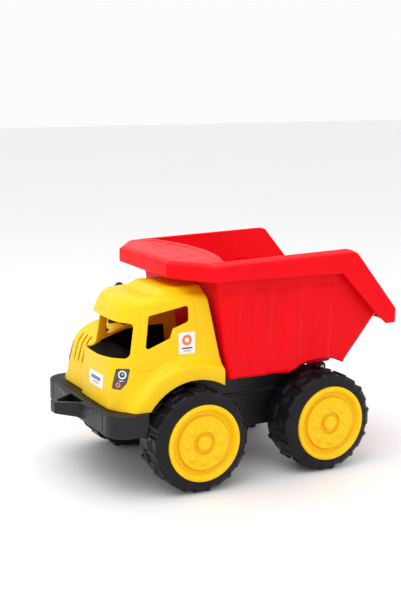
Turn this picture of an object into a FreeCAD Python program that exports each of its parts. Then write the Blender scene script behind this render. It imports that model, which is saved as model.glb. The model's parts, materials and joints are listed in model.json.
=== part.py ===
"""Push along dump truck, a moulded plastic toy pushed by hand, as a parametric FreeCAD document.

Millimetres, +Z up, the ground at Z = 0. The front looks along -Y and the truck's left side is +X.
The origin lies on the ground, under the middle of the truck's bounding box.
"""
import FreeCAD, Part
import math
import os
import Sketcher

from FreeCAD import Placement, Rotation, Vector

DOC = FreeCAD.newDocument("PushAlongTruck")

# ---------------------------------------------------------------- driving dimensions
DIMENSIONS = {
    # running gear
    "wheelbase": 155.0,
    "front_overhang": 123.1,       # tow loop tip to the front axle
    "rear_overhang": 88.5,         # rear axle to the tail lip
    "tyre_radius": 55.2,
    "tread_depth": 3.0,
    "tyre_inner_face": 61.5,       # from the truck's centre plane
    "tyre_shoulder": 105.0,
    "tyre_outer_face": 109.5,
    "hub_face": 112.0,
    "hub_radius": 41.0,
    "hub_seat_depth": 11.5,
    "tyre_web": 3.0,
    "tyre_wall": 3.2,
    "boss_radius": 8.0,
    "boss_length": 20.0,
    "axle_radius": 3.0,
    "axle_half_length": 103.5,
    "running_gap": 0.08,
    "nut_radius": 6.5,
    "nut_thickness": 1.6,
    "bolt_circle": 19.5,
    "bolt_radius": 3.7,
    "bolt_count": 8,
    "lug_count": 12,
    "lug_width": 17.0,
    "lug_span": 15.5,
    # chassis
    "chassis_half_width": 56.0,
    "chassis_top": 107.0,
    "chassis_bottom": 47.0,
    "chassis_wall": 2.6,
    "bumper_top": 90.0,
    "bumper_bottom": 66.0,
    "bumper_half_width": 96.0,
    "pin_radius": 2.5,
    "pin_half_length": 57.5,
    "hinge_height": 103.0,
    "hinge_behind_axle": 22.5,
    # cab
    "cab_right_wall": -14.0,       # the cab stands on the left, the bonnet beside it on the right
    "shell_wall": 2.2,
    "arch_radius": 62.6,
    "fender_radius": 78.0,
    "fender_face": 92.0,
    "decal_thickness": 0.25,
    # dump bed
    "bed_wall": 2.4,
    "bed_arch_radius": 67.0,
    "bed_floor": 110.0,
    "rest_gap": 0.3,
    "bed_half_floor": 84.0,
    "bed_half_top": 91.5,
    "rim_half_width": 102.0,
    "rim_opening": 90.0,
    "rim_height": 236.0,
    "rim_skirt": 218.0,
}

SHEET = DOC.addObject("Spreadsheet::Sheet", "Dims")
for row, (alias, value) in enumerate(DIMENSIONS.items(), start=1):
    SHEET.set(f"A{row}", alias)
    SHEET.set(f"B{row}", str(value))
    SHEET.setAlias(f"B{row}", alias)
DOC.recompute()


def dim(alias):
    """The value that the spreadsheet holds for one alias."""
    return float(getattr(SHEET, alias))


LENGTH = dim("front_overhang") + dim("wheelbase") + dim("rear_overhang")
FRONT_AXLE = -LENGTH / 2 + dim("front_overhang")
REAR_AXLE = FRONT_AXLE + dim("wheelbase")
LUG_HALF_ANGLE = math.asin(dim("lug_span") / 2 / dim("tyre_radius"))
LUG_STAGGER = math.pi / dim("lug_count")
AXLE_HEIGHT = dim("tyre_radius") * math.cos(LUG_STAGGER - LUG_HALF_ANGLE)   # it stands on two lugs
HINGE_Y = REAR_AXLE + dim("hinge_behind_axle")
HINGE_Z = dim("hinge_height")
FAR = 400.0                        # longer than any piece, for cutting tools

PARTS = []                         # the sub-parts that are written to parts/


def publish(part, label):
    """Give a finished sub-part its node name and list it for export."""
    part.Label = label
    PARTS.append(part)
    return part


# ---------------------------------------------------------------- shape helpers
def closed_wire(points):
    return Part.makePolygon([*points, points[0]])


def grown(wire, distance):
    """A planar closed wire moved outwards by distance, or inwards where it is negative."""
    if abs(distance) < 1e-9:
        return wire
    return wire.makeOffset2D(distance)


def side_prism(outline, x_low, x_high, grow=0.0):
    """Extrude a side-view outline of (y, z) points along X."""
    wire = closed_wire([Vector(x_low, y, z) for y, z in outline])
    return Part.Face(grown(wire, grow)).extrude(Vector(x_high - x_low, 0, 0))


def front_prism(outline, y_low, y_high, grow=0.0):
    """Extrude a front-view outline of (x, z) points along Y."""
    wire = closed_wire([Vector(x, y_low, z) for x, z in outline])
    return Part.Face(grown(wire, grow)).extrude(Vector(0, y_high - y_low, 0))


def plan_prism(outline, z_low, z_high, grow=0.0):
    """Extrude a plan-view outline of (x, y) points along Z."""
    wire = closed_wire([Vector(x, y, z_low) for x, y in outline])
    return Part.Face(grown(wire, grow)).extrude(Vector(0, 0, z_high - z_low))


def box(x_low, x_high, y_low, y_high, z_low, z_high):
    return Part.makeBox(x_high - x_low, y_high - y_low, z_high - z_low, Vector(x_low, y_low, z_low))


def span(side, inner, outer):
    """The X range between two distances from the centre plane, on the left (+1) or right (-1)."""
    return sorted((side * inner, side * outer))


def cross_cylinder(radius, x_low, x_high, y, z):
    """A cylinder that lies along X."""
    return Part.makeCylinder(radius, x_high - x_low, Vector(x_low, y, z), Vector(1, 0, 0))


def arc_points(centre_u, centre_v, radius, start, end, steps=8):
    """Points of a circular arc in an outline's own plane, from angle start to end in degrees."""
    points = []
    for step in range(steps + 1):
        angle = math.radians(start + (end - start) * step / steps)
        points.append((centre_u + radius * math.cos(angle), centre_v + radius * math.sin(angle)))
    return points


def from_axle(outline, axle):
    """Turn (distance behind an axle, height) pairs into (y, z) points."""
    return [(axle + behind, height) for behind, height in outline]


def feature(label, shape):
    """A free-form sub-part: its shape is set from the dimensions above."""
    part = DOC.addObject("Part::Feature", label)
    part.Shape = shape
    part.Placement = Placement()
    return publish(part, label)


def single_solid(shape):
    """The one solid of a boolean result, with its seams removed."""
    solids = shape.removeSplitter().Solids
    if len(solids) != 1:
        raise ValueError(f"expected one solid, found {len(solids)}")
    return solids[0]


# ---------------------------------------------------------------- sketch helpers
def body_plane(body, role):
    return next(item for item in body.Origin.OriginFeatures if item.Role == role)


def bound_profile(body, name, role, corners):
    """A closed polygon sketch whose every corner coordinate is bound to an expression."""
    sketch = body.newObject("Sketcher::SketchObject", name)
    sketch.AttachmentSupport = [(body_plane(body, role), "")]
    sketch.MapMode = "FlatFace"
    count = len(corners)
    start = [Vector(math.cos(2 * math.pi * i / count), math.sin(2 * math.pi * i / count), 0)
             for i in range(count)]
    for i in range(count):
        sketch.addGeometry(Part.LineSegment(start[i], start[(i + 1) % count]), False)
    for i in range(count):
        sketch.addConstraint(Sketcher.Constraint("Coincident", i, 2, (i + 1) % count, 1))
    for i, (across, up) in enumerate(corners):
        for kind, value, expression in (("DistanceX", start[i].x, across), ("DistanceY", start[i].y, up)):
            index = sketch.addConstraint(Sketcher.Constraint(kind, -1, 1, i, 1, value))
            sketch.setExpression(f"Constraints[{index}]", expression)
    return sketch


def revolved_body(name, corners):
    """A PartDesign body turned about the X axis from a profile of (x, radius) corners."""
    body = DOC.addObject("PartDesign::Body", name)
    sketch = bound_profile(body, name + "_profile", "XY_Plane", corners)
    revolution = body.newObject("PartDesign::Revolution", name + "_revolution")
    revolution.Profile = sketch
    revolution.ReferenceAxis = (sketch, ["H_Axis"])
    revolution.Angle = 360.0
    return body


def pattern_about_axle(body, feature_to_repeat, name, count_alias):
    """Repeat a feature round the body's own X axis."""
    pattern = body.newObject("PartDesign::PolarPattern", name)
    pattern.Originals = [feature_to_repeat]
    pattern.Axis = (body_plane(body, "X_Axis"), [""])
    pattern.Angle = 360.0
    pattern.setExpression("Occurrences", f"Dims.{count_alias}")
    body.Tip = pattern
    return pattern


# ---------------------------------------------------------------- wheels
def make_tyre(name):
    """Hollow moulded tyre: tread drum, rounded shoulder, hub seat, web and axle boss, with lugs."""
    web = "(Dims.hub_face - Dims.hub_seat_depth - 2)"
    bore = "(Dims.axle_radius + Dims.running_gap)"
    core = "(Dims.tyre_radius - Dims.tread_depth)"
    inner = f"({core} - Dims.tyre_wall)"
    body = revolved_body(name, [
        (f"{web} - Dims.boss_length", bore),
        (web, bore),
        (web, "Dims.hub_radius"),
        ("Dims.tyre_outer_face", "Dims.hub_radius"),
        ("Dims.tyre_outer_face", "Dims.hub_radius + 3"),
        ("Dims.tyre_outer_face - 1.6", "Dims.hub_radius + 7"),
        ("Dims.tyre_shoulder", core),
        ("Dims.tyre_inner_face + 2", core),
        ("Dims.tyre_inner_face", f"{core} - 2"),
        ("Dims.tyre_inner_face", "Dims.hub_radius + 1"),
        ("Dims.tyre_inner_face + 2.6", "Dims.hub_radius + 1"),
        ("Dims.tyre_inner_face + 2.6", inner),
        ("Dims.tyre_shoulder - 2.5", inner),
        ("Dims.tyre_shoulder - 2.5", "Dims.hub_radius + 2.6"),
        (f"{web} - Dims.tyre_web", "Dims.hub_radius + 2.6"),
        (f"{web} - Dims.tyre_web", "Dims.boss_radius"),
        (f"{web} - Dims.boss_length", "Dims.boss_radius"),
    ])
    DOC.recompute()
    foot = dim("tyre_radius") - dim("tread_depth") - 1.0
    for side, low, high, turn in (
        ("outer", "Dims.tyre_shoulder - Dims.lug_width", "Dims.tyre_shoulder - 0.4", 0.0),
        ("inner", "Dims.tyre_inner_face + 2.5", "Dims.tyre_inner_face + 2.5 + Dims.lug_width", 15.0),
    ):
        sketch = bound_profile(body, f"{name}_{side}_lug", "XY_Plane", [
            (low, "-Dims.lug_span / 2"),
            (high, "-Dims.lug_span / 2"),
            (high, "Dims.lug_span / 2"),
            (low, "Dims.lug_span / 2"),
        ])
        tilt = Rotation(Vector(1, 0, 0), turn)
        sketch.AttachmentOffset = Placement(tilt.multVec(Vector(0, 0, foot)), tilt)
        pad = body.newObject("PartDesign::Pad", f"{name}_{side}_lug_pad")
        pad.Profile = sketch
        pad.setExpression("Length", "sqrt(Dims.tyre_radius^2 - Dims.lug_span^2 / 4)"
                                    " - (Dims.tyre_radius - Dims.tread_depth - 1)")
        pattern_about_axle(body, pad, f"{name}_{side}_lugs", "lug_count")
    return body


def make_hub(name):
    """Dished hub plug: rim lip, groove, raised disc with domed bolts, recess and centre cap."""
    seat = "Dims.hub_face - Dims.hub_seat_depth"
    groove = "Dims.hub_face - 5.4"
    disc = "Dims.hub_face - 2.4"
    recess = "Dims.hub_face - 5"
    skin = "2"
    body = revolved_body(name, [
        (seat, "Dims.hub_radius"),
        ("Dims.hub_face - 0.8", "Dims.hub_radius"),
        ("Dims.hub_face", "Dims.hub_radius - 0.8"),
        ("Dims.hub_face", "Dims.hub_radius - 4.6"),
        (groove, "Dims.hub_radius - 7.6"),
        (groove, "30"),
        (disc, "28.4"),
        (disc, "12.6"),
        (recess, "11.6"),
        (recess, "8.2"),
        ("Dims.hub_face - 1.4", "7.6"),
        ("Dims.hub_face", "5.2"),
        ("Dims.hub_face", "0"),
        (f"Dims.hub_face - {skin}", "0"),
        (f"Dims.hub_face - {skin}", "4.6"),
        (f"{recess} - {skin}", "5.8"),
        (f"{recess} - {skin}", "13.4"),
        (f"{disc} - {skin}", "14.2"),
        (f"{disc} - {skin}", "27.4"),
        (f"{groove} - {skin}", "29"),
        (f"{groove} - {skin}", "Dims.hub_radius - 6.6"),
        (f"Dims.hub_face - {skin}", "Dims.hub_radius - 3.2"),
        (f"Dims.hub_face - {skin}", "Dims.hub_radius - 2"),
        (seat, "Dims.hub_radius - 2"),
    ])
    DOC.recompute()
    sketch = body.newObject("Sketcher::SketchObject", name + "_bolt_circle")
    sketch.AttachmentSupport = [(body_plane(body, "YZ_Plane"), "")]
    sketch.MapMode = "FlatFace"
    sketch.AttachmentOffset = Placement(Vector(0, 0, dim("hub_face") - 3.4), Rotation())
    sketch.addGeometry(Part.Circle(Vector(0, dim("bolt_circle"), 0), Vector(0, 0, 1), 3.0), False)
    radius = sketch.addConstraint(Sketcher.Constraint("Radius", 0, 3.0))
    sketch.setExpression(f"Constraints[{radius}]", "Dims.bolt_radius")
    sketch.addConstraint(Sketcher.Constraint("PointOnObject", 0, 3, -2))
    height = sketch.addConstraint(Sketcher.Constraint("DistanceY", -1, 1, 0, 3, dim("bolt_circle")))
    sketch.setExpression(f"Constraints[{height}]", "Dims.bolt_circle")
    pad = body.newObject("PartDesign::Pad", name + "_bolt")
    pad.Profile = sketch
    pad.Length = 2.2
    DOC.recompute()
    dome = body.newObject("PartDesign::Fillet", name + "_bolt_dome")
    outer_ring = max(
        (index for index, edge in enumerate(pad.Shape.Edges, start=1)
         if edge.Closed and abs(edge.Length - 2 * math.pi * dim("bolt_radius")) < 0.01),
        key=lambda index: pad.Shape.Edges[index - 1].CenterOfMass.x)
    dome.Base = (pad, [f"Edge{outer_ring}"])
    dome.Radius = 1.0
    DOC.recompute()
    pattern = body.newObject("PartDesign::PolarPattern", name + "_bolts")
    pattern.Originals = [pad, dome]
    pattern.Axis = (body_plane(body, "X_Axis"), [""])
    pattern.Angle = 360.0
    pattern.setExpression("Occurrences", "Dims.bolt_count")
    body.Tip = pattern
    return body


WHEELS = [
    ("front_left", FRONT_AXLE, 0.0),
    ("front_right", FRONT_AXLE, 180.0),
    ("rear_left", REAR_AXLE, 0.0),
    ("rear_right", REAR_AXLE, 180.0),
]
for corner, wheel_y, turn in WHEELS:
    stand = Placement(Vector(0, wheel_y, AXLE_HEIGHT), Rotation(Vector(0, 0, 1), turn))
    for piece, maker in (("tyre", make_tyre), ("hub", make_hub)):
        wheel_part = maker(f"{piece}_{corner}")
        DOC.recompute()
        wheel_part.Placement = stand
        publish(wheel_part, f"{piece}_{corner}")


# ---------------------------------------------------------------- axles, pin and push nuts
def cross_rod(name, radius_alias, half_length_alias, y, z):
    rod = DOC.addObject("Part::Cylinder", name)
    rod.setExpression("Radius", f"Dims.{radius_alias}")
    rod.setExpression("Height", f"2 * Dims.{half_length_alias}")
    rod.Placement = Placement(Vector(-dim(half_length_alias), y, z), Rotation(Vector(0, 1, 0), 90))
    return publish(rod, name)


cross_rod("front_axle", "axle_radius", "axle_half_length", FRONT_AXLE, AXLE_HEIGHT)
cross_rod("rear_axle", "axle_radius", "axle_half_length", REAR_AXLE, AXLE_HEIGHT)
cross_rod("bed_hinge_pin", "pin_radius", "pin_half_length", HINGE_Y, HINGE_Z)


def make_push_nuts():
    """Four domed steel push nuts, one on each axle end, between the wheel's web and its hub."""
    face = dim("hub_face") - dim("hub_seat_depth") - 2 + 0.5
    nuts = []
    for axle_y in (FRONT_AXLE, REAR_AXLE):
        for side in (-1, 1):
            low = face if side > 0 else -face - dim("nut_thickness")
            nut = cross_cylinder(dim("nut_radius"), low, low + dim("nut_thickness"), axle_y, AXLE_HEIGHT)
            hole = cross_cylinder(dim("axle_radius"), low - 1, low + 3, axle_y, AXLE_HEIGHT)
            nuts.append(nut.cut(hole).Solids[0])
    return Part.makeCompound(nuts)


feature("axle_push_nuts", make_push_nuts())


# ---------------------------------------------------------------- chassis
# screws that hold the cab: x, y and the deck whose underside their heads bear on
SCREW_PLACES = [
    (-38.0, FRONT_AXLE - 30.0, "chassis_top"),
    (-38.0, FRONT_AXLE + 26.0, "chassis_top"),
    (44.0, FRONT_AXLE + 29.5, "chassis_top"),
    (44.0, FRONT_AXLE - 80.5, "bumper_top"),
]


def make_chassis():
    """Open-bottomed tray with axle bosses and, at its rear, ears that hold the bed's hinge pin."""
    half = dim("chassis_half_width")
    wall = dim("chassis_wall")
    top = dim("chassis_top")
    low = dim("chassis_bottom")
    ear = 6.4
    front = FRONT_AXLE - 57.0
    rear = HINGE_Y + ear
    deck_rear = HINGE_Y - 18.0
    profile = [(front, dim("bumper_bottom")), (front + 25.0, low), (rear - 4.0, low), (rear, low + 6.0),
               (rear, HINGE_Z), *arc_points(HINGE_Y, HINGE_Z, ear, 10, 100, 6),
               (HINGE_Y - 8.0, top), (FRONT_AXLE - 36.0, top), (front, dim("bumper_top"))]
    tray = side_prism(profile, -half, half)
    # the space under the deck, open downwards, and the slot behind the deck for the bed's lugs
    inside = side_prism([(front + wall, low - 5), (rear - wall, low - 5), (rear - wall, HINGE_Z - 12),
                         (deck_rear, HINGE_Z - 12), (deck_rear, top - wall),
                         (FRONT_AXLE - 36.0, top - wall), (front + wall, dim("bumper_top") - wall)],
                        -half + wall, half - wall)
    slot = box(-half + wall, half - wall, deck_rear, rear + 1, HINGE_Z - 12, top + 10)
    tray = tray.cut(inside).cut(slot)
    for side in (-1, 1):
        # a stepped rib along each side, and bosses round the two axles
        tray = tray.fuse(box(*span(side, half, half + 1.6), FRONT_AXLE + 8.0, REAR_AXLE - 12.0, 84.0, 87.0))
        for axle_y in (FRONT_AXLE, REAR_AXLE):
            tray = tray.fuse(cross_cylinder(9.0, *span(side, half - 14.0, half + 2.4), axle_y, AXLE_HEIGHT))
        # pads that the lowered bed rests on
        tray = tray.fuse(box(*span(side, 30.0, 44.0), REAR_AXLE - 106.0, REAR_AXLE - 94.0,
                             top - 1.0, dim("bed_floor") - dim("rest_gap")))
    for axle_y in (FRONT_AXLE, REAR_AXLE):
        tray = tray.cut(cross_cylinder(dim("axle_radius"), -FAR, FAR, axle_y, AXLE_HEIGHT))
    tray = tray.cut(cross_cylinder(dim("pin_radius"), -FAR, FAR, HINGE_Y, HINGE_Z))
    for x, y, deck in SCREW_PLACES:
        if deck == "chassis_top":
            tray = tray.cut(Part.makeCylinder(1.7, 20, Vector(x, y, top - 10)))
    return single_solid(tray)


def bumper_outline(grow=0.0):
    """Plan of the bumper: straight front, rounded corners and short side returns."""
    half = dim("bumper_half_width")
    front = FRONT_AXLE - 95.5
    corner = 22.0
    left = arc_points(half - corner, front + corner, corner, -90, 0, 8)
    right = [(-x, y) for x, y in reversed(left)]
    outline = [*left, (half, FRONT_AXLE - 56.0), (-half, FRONT_AXLE - 56.0), *right]
    wire = closed_wire([Vector(x, y, 0) for x, y in outline])
    return grown(wire, grow)


def make_bumper():
    """Hollow front bumper: tread-plate top, recessed face, and a tow loop at its centre."""
    top = dim("bumper_top")
    low = dim("bumper_bottom")
    wall = dim("chassis_wall")
    front = FRONT_AXLE - 95.5
    half = dim("chassis_half_width")
    outer = Part.Face(bumper_outline()).extrude(Vector(0, 0, top - low))
    outer.translate(Vector(0, 0, low))
    cavity = Part.Face(bumper_outline(-wall)).extrude(Vector(0, 0, top - wall))
    shell = outer.cut(cavity)
    # pads of ribs on the tread plate, one row along the front edge
    pitch = 4.0
    count = int(2 * (dim("bumper_half_width") - 24.0) / pitch)
    for i in range(count + 1):
        x = (i - count / 2) * pitch
        shell = shell.fuse(box(x - 0.7, x + 0.7, front + 1.6, front + 6.6, top - 0.2, top + 0.6))
    # the dark pocket behind the tow loop
    pocket = box(-23, 23, front - 1, front + 9, 71.0, 87.0)
    liner = box(-25, 25, front + wall - 0.5, front + 11, 69.0, 89.0)
    shell = shell.fuse(liner).cut(pocket)
    # tow loop: two arms that meet in a blunt nose
    nose = -LENGTH / 2
    loop = plan_prism([(-6, nose), (6, nose), (22.5, front + 0.5), (-22.5, front + 0.5)], 71.0, 88.0)
    inner = plan_prism([(-2.4, nose + 6.0), (2.4, nose + 6.0), (18.6, front + 1.5), (-18.6, front + 1.5)],
                       60.0, 95.0)
    taper = side_prism([(nose - 1, 60.0), (nose - 1, 75.5), (front + 0.5, 71.0), (front + 0.5, 60.0)], -60, 60)
    loop = loop.cut(inner).cut(taper)
    for side in (-1, 1):
        gusset = Part.makePolygon([Vector(side * 20.5, front + 0.5, 71.2), Vector(side * 50, front + 0.5, 88.0),
                                   Vector(side * 19.5, front + 0.5, 88.0), Vector(side * 20.5, front + 0.5, 71.2)])
        ridge = Part.makePolygon([Vector(side * 20.5, front - 4.2, 72.0), Vector(side * 20.6, front - 4.2, 88.0),
                                  Vector(side * 19.5, front - 4.2, 88.0), Vector(side * 20.5, front - 4.2, 72.0)])
        loop = loop.fuse(Part.makeLoft([gusset, ridge], True, True))
    shell = shell.fuse(loop)
    # clear the front tyres, and leave room for the chassis tray behind
    for side in (-1, 1):
        well = cross_cylinder(dim("arch_radius") - 2.6, *span(side, 57.5, 120.0), FRONT_AXLE, AXLE_HEIGHT)
        shell = shell.cut(well)
    shell = shell.cut(box(-half - 0.3, half + 0.3, FRONT_AXLE - 57.3, FRONT_AXLE, low - 1, top + 5))
    for x, y, deck in SCREW_PLACES:
        if deck == "bumper_top":
            shell = shell.cut(Part.makeCylinder(1.7, 20, Vector(x, y, top - 10)))
    return single_solid(shell)


def make_cab_screws():
    """Pan-head self-tapping screws, driven up through the decks into the cab's posts."""
    screws = []
    for x, y, deck in SCREW_PLACES:
        under = dim(deck) - dim("chassis_wall")
        shank = Part.makeCylinder(1.5, 13.0, Vector(x, y, under - 0.5))
        head = Part.makeCylinder(3.4, 2.4, Vector(x, y, under - 2.4))
        slot = box(x - 2.2, x + 2.2, y - 0.4, y + 0.4, under - 3, under - 1.3)
        cross = box(x - 0.4, x + 0.4, y - 2.2, y + 2.2, under - 3, under - 1.3)
        screws.append(single_solid(head.fuse(shank).cut(slot).cut(cross)))
    return Part.makeCompound(screws)


feature("chassis_frame", make_chassis())
feature("front_bumper", make_bumper())
feature("cab_screws", make_cab_screws())


# ---------------------------------------------------------------- cab shell
def plan_section(z, front, bow, near, far, rear, near_round, far_round):
    """Closed plan wire of the cab at one height: straight sides, a bowed front, rounded corners.

    front and rear are distances behind the front axle, near and far are X positions.
    """
    y_front = FRONT_AXLE + front
    y_rear = FRONT_AXLE + rear
    near_start = Vector(near, y_front + bow + near_round, z)
    near_end = Vector(near - near_round, y_front + bow, z)
    far_start = Vector(far + far_round, y_front + bow, z)
    far_end = Vector(far, y_front + bow + far_round, z)
    lean = math.sqrt(0.5)
    near_mid = Vector(near - near_round * (1 - lean), y_front + bow + near_round * (1 - lean), z)
    far_mid = Vector(far + far_round * (1 - lean), y_front + bow + far_round * (1 - lean), z)
    middle = Vector((near_end.x + far_start.x) / 2, y_front, z)
    back_near = Vector(near, y_rear, z)
    back_far = Vector(far, y_rear, z)
    return Part.Wire([
        Part.LineSegment(back_near, near_start).toShape(),
        Part.Arc(near_start, near_mid, near_end).toShape(),
        Part.Arc(near_end, middle, far_start).toShape(),
        Part.Arc(far_start, far_mid, far_end).toShape(),
        Part.LineSegment(far_end, back_far).toShape(),
        Part.LineSegment(back_far, back_near).toShape(),
    ])


CAB_LEVELS = [
    # height, front, bow, near side, far side, rear, near corner, far corner
    (90.0, -87.5, 1.5, 81.5, -14.0, 34.0, 22.0, 8.0),
    (116.0, -86.8, 2.0, 81.0, -14.0, 34.0, 22.0, 8.0),
    (133.0, -85.4, 2.6, 80.6, -14.0, 34.0, 24.0, 8.0),
    (140.0, -84.5, 3.0, 80.3, -14.0, 32.5, 24.0, 8.0),
    (178.8, -73.3, 4.0, 78.3, -13.2, 24.5, 25.0, 9.0),
    (179.0, -75.6, 4.0, 78.3, -13.2, 24.5, 25.0, 9.0),
    (197.0, -66.5, 4.5, 77.0, -12.0, 20.7, 25.0, 10.0),
    (204.0, -52.0, 4.5, 72.5, -8.0, 19.2, 24.0, 10.0),
]
NOSE_LEVELS = [
    # height, front, bow, inner side, outer side, rear, inner corner, outer corner
    (90.0, -82.5, 1.0, -8.0, -81.5, 34.0, 4.0, 20.0),
    (117.0, -77.5, 1.0, -8.0, -80.8, 34.0, 4.0, 20.0),
    (133.0, -73.3, 1.0, -8.0, -79.2, 34.0, 4.0, 20.0),
    (142.5, -69.3, 1.0, -8.0, -76.5, 31.8, 4.0, 20.0),
    (150.0, -62.0, 1.0, -8.0, -71.0, 30.0, 4.0, 18.0),
    (154.5, -50.0, 1.0, -8.0, -62.0, 29.0, 4.0, 14.0),
    (156.5, -36.0, 1.0, -8.0, -52.0, 28.4, 4.0, 10.0),
]


def stacked_loft(levels, inset, drop=0.0, open_rear=False):
    """Loft through plan sections, all moved inwards by inset; drop lowers the topmost level."""
    wires = []
    for index, level in enumerate(levels):
        z, front, bow, near, far, rear, near_round, far_round = level
        if index == 0:
            z -= 10.0 * (inset > 0)
        if index == len(levels) - 1:
            z -= drop
        inner_rear = rear + 5.0 if open_rear else rear - inset
        wires.append(plan_section(z, front + inset, bow, near - inset, far + inset, inner_rear,
                                  near_round - inset, far_round - inset))
    return Part.makeLoft(wires, True, True)


def mirrored_nose(inset, drop=0.0):
    """The bonnet on the truck's right, whose levels list its inner side as the near one."""
    return stacked_loft(NOSE_LEVELS, inset, drop)


def fender_bulge(side, inset):
    """The flared wheel arch: a shallow cone about the front axle, cut off at the bumper and the rear."""
    root = 76.0
    length = dim("fender_face") - root - inset
    bulge = Part.makeCone(dim("fender_radius") + 7.5 - inset, dim("fender_radius") - inset, length,
                          Vector(side * root, FRONT_AXLE, AXLE_HEIGHT), Vector(side, 0, 0))
    low = dim("bumper_top") - 10.0 * (inset > 0)
    rear = FRONT_AXLE + 34.0 - inset
    keep = box(-FAR, FAR, FRONT_AXLE - 85.0, rear, low, 200.0)
    return bulge.common(keep)


def body_solid(inset):
    """Everything inside the painted surface of the cab, bonnet and front fenders."""
    shape = stacked_loft(CAB_LEVELS, inset, inset, open_rear=inset > 0)
    nose = mirrored_nose(inset, inset)
    if inset > 0:
        nose = nose.common(box(-FAR, dim("cab_right_wall"), -FAR, FAR, 0, FAR))
    shape = shape.fuse(nose)
    for side in (-1, 1):
        shape = shape.fuse(fender_bulge(side, inset))
    return shape


SIDE_WINDOW = [(-2.4, 193.8), (-47.3, 186.3), (-52.2, 151.4), (-23.9, 161.7), (-20.8, 171.3), (-2.6, 177.0)]
# the window in the right wall reaches a little further forward
RIGHT_WINDOW = [(-2.4, 193.8), (-51.5, 185.6), (-56.0, 150.0), (-23.9, 161.7), (-20.8, 171.3), (-2.6, 177.0)]
WINDSCREEN = [(-110.0, 142.0), (-110.0, 178.9), (-61.5, 178.9), (-67.5, 146.0), (-72.0, 142.0)]
RAISED_ROOF = [
    (203.5, -37.0, 3.0, 70.0, -6.0, 19.1, 20.0, 10.0),
    (209.0, -29.0, 3.0, 64.0, 0.0, 18.2, 18.0, 10.0),
    (210.5, -24.0, 3.0, 60.0, 4.0, 18.0, 16.0, 8.0),
]


def rounded_prism(outline, x_low, x_high, radius):
    """A side-view opening with rounded corners, cut along X."""
    wire = closed_wire([Vector(x_low, y, z) for y, z in from_axle(outline, FRONT_AXLE)])
    wire = wire.makeOffset2D(-radius).makeOffset2D(2 * radius).makeOffset2D(-radius)
    return Part.Face(wire).extrude(Vector(x_high - x_low, 0, 0))


def make_cab_shell():
    """One thin moulding: offset cab with open back, bonnet beside it, fenders and window openings."""
    wall = dim("shell_wall")
    shell = body_solid(0.0).cut(body_solid(wall))
    shell = shell.fuse(stacked_loft(RAISED_ROOF, 0.0)).cut(stacked_loft(RAISED_ROOF, wall, wall))
    # low wall behind the seat
    shell = shell.fuse(box(-13.0, 79.5, FRONT_AXLE + 31.6, FRONT_AXLE + 33.8, dim("chassis_top"), 130.0))
    # posts for the cab screws
    for x, y, deck in SCREW_PLACES:
        height = 49.0 if x < 0 else 24.0
        shell = shell.fuse(Part.makeCylinder(4.2, height, Vector(x, y, dim(deck))))
    for x, y, deck in SCREW_PLACES:
        shell = shell.cut(Part.makeCylinder(1.5, 14.0, Vector(x, y, dim(deck) - 1)))
    # openings
    shell = shell.cut(rounded_prism(SIDE_WINDOW, 30.0, 100.0, 2.5))
    shell = shell.cut(rounded_prism(RIGHT_WINDOW, -30.0, 30.0, 2.5))
    shell = shell.cut(rounded_prism(WINDSCREEN, -20.0, 100.0, 3.0).cut(mirrored_nose(0.0)))
    for x in (-51.0, -40.0, -29.5):
        shell = shell.cut(box(x - 1.1, x + 1.1, FRONT_AXLE - 100, FRONT_AXLE - 60, 117.0, 142.5))
    shell = shell.cut(Part.makeCylinder(1.2, 40.0, Vector(-60.0, FRONT_AXLE - 46.0, 140.0)))
    # wheel arches, and room for the chassis deck and its sloping front
    for side in (-1, 1):
        shell = shell.cut(cross_cylinder(dim("arch_radius"), *span(side, 57.0, 120.0), FRONT_AXLE, AXLE_HEIGHT))
    deck = from_axle([(-57.3, 60.0), (-57.3, dim("bumper_top") + 0.3), (-36.3, dim("chassis_top")),
                      (60.0, dim("chassis_top")), (60.0, 60.0)], FRONT_AXLE)
    half = dim("chassis_half_width") + 0.3
    shell = shell.cut(side_prism(deck, -half, half))
    shell = shell.cut(box(-FAR, FAR, -FAR, FAR, 0, dim("bumper_top")))
    return single_solid(shell)


def make_cab_interior():
    """Dark insert behind the windows: dash, seat, and a tall panel against the cab's right wall."""
    floor = dim("chassis_top") + 0.1
    profile = from_axle([(-50.0, floor), (-72.0, 118.0), (-80.5, 128.0), (-79.5, 138.0), (-62.0, 144.0), (-52.0, 144.0),
                         (-44.0, 124.0), (-16.0, 122.0), (-6.0, 126.0), (1.0, 141.0), (9.0, 142.0),
                         (14.0, floor)], FRONT_AXLE)
    low, high = dim("cab_right_wall") + 2.6, 76.5
    seat = side_prism(profile, low, high)
    panel = side_prism(from_axle([(-74.0, 128.0), (-72.0, 136.0), (-61.0, 146.0), (-32.0, 155.0), (12.0, 156.5),
                                  (14.0, floor), (-50.0, floor)], FRONT_AXLE), low, low + 2.0)
    limit = stacked_loft(CAB_LEVELS, dim("shell_wall") + 0.5, 3.0)
    seat = seat.fuse(panel).common(limit)
    hollow = side_prism(profile, low + 2.2, high - 2.2, grow=-2.2)
    below = box(low + 2.2, high - 2.2, FRONT_AXLE - 48.0, FRONT_AXLE + 11.6, floor - 1, floor + 3.5)
    seat = seat.cut(hollow).cut(below)
    for side in (-1, 1):
        seat = seat.cut(cross_cylinder(dim("arch_radius"), *span(side, 57.0, 120.0), FRONT_AXLE, AXLE_HEIGHT))
    for x, y, deck in SCREW_PLACES:
        seat = seat.cut(Part.makeCylinder(4.8, 60.0, Vector(x, y, dim(deck) - 5)))
    return single_solid(seat)


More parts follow.
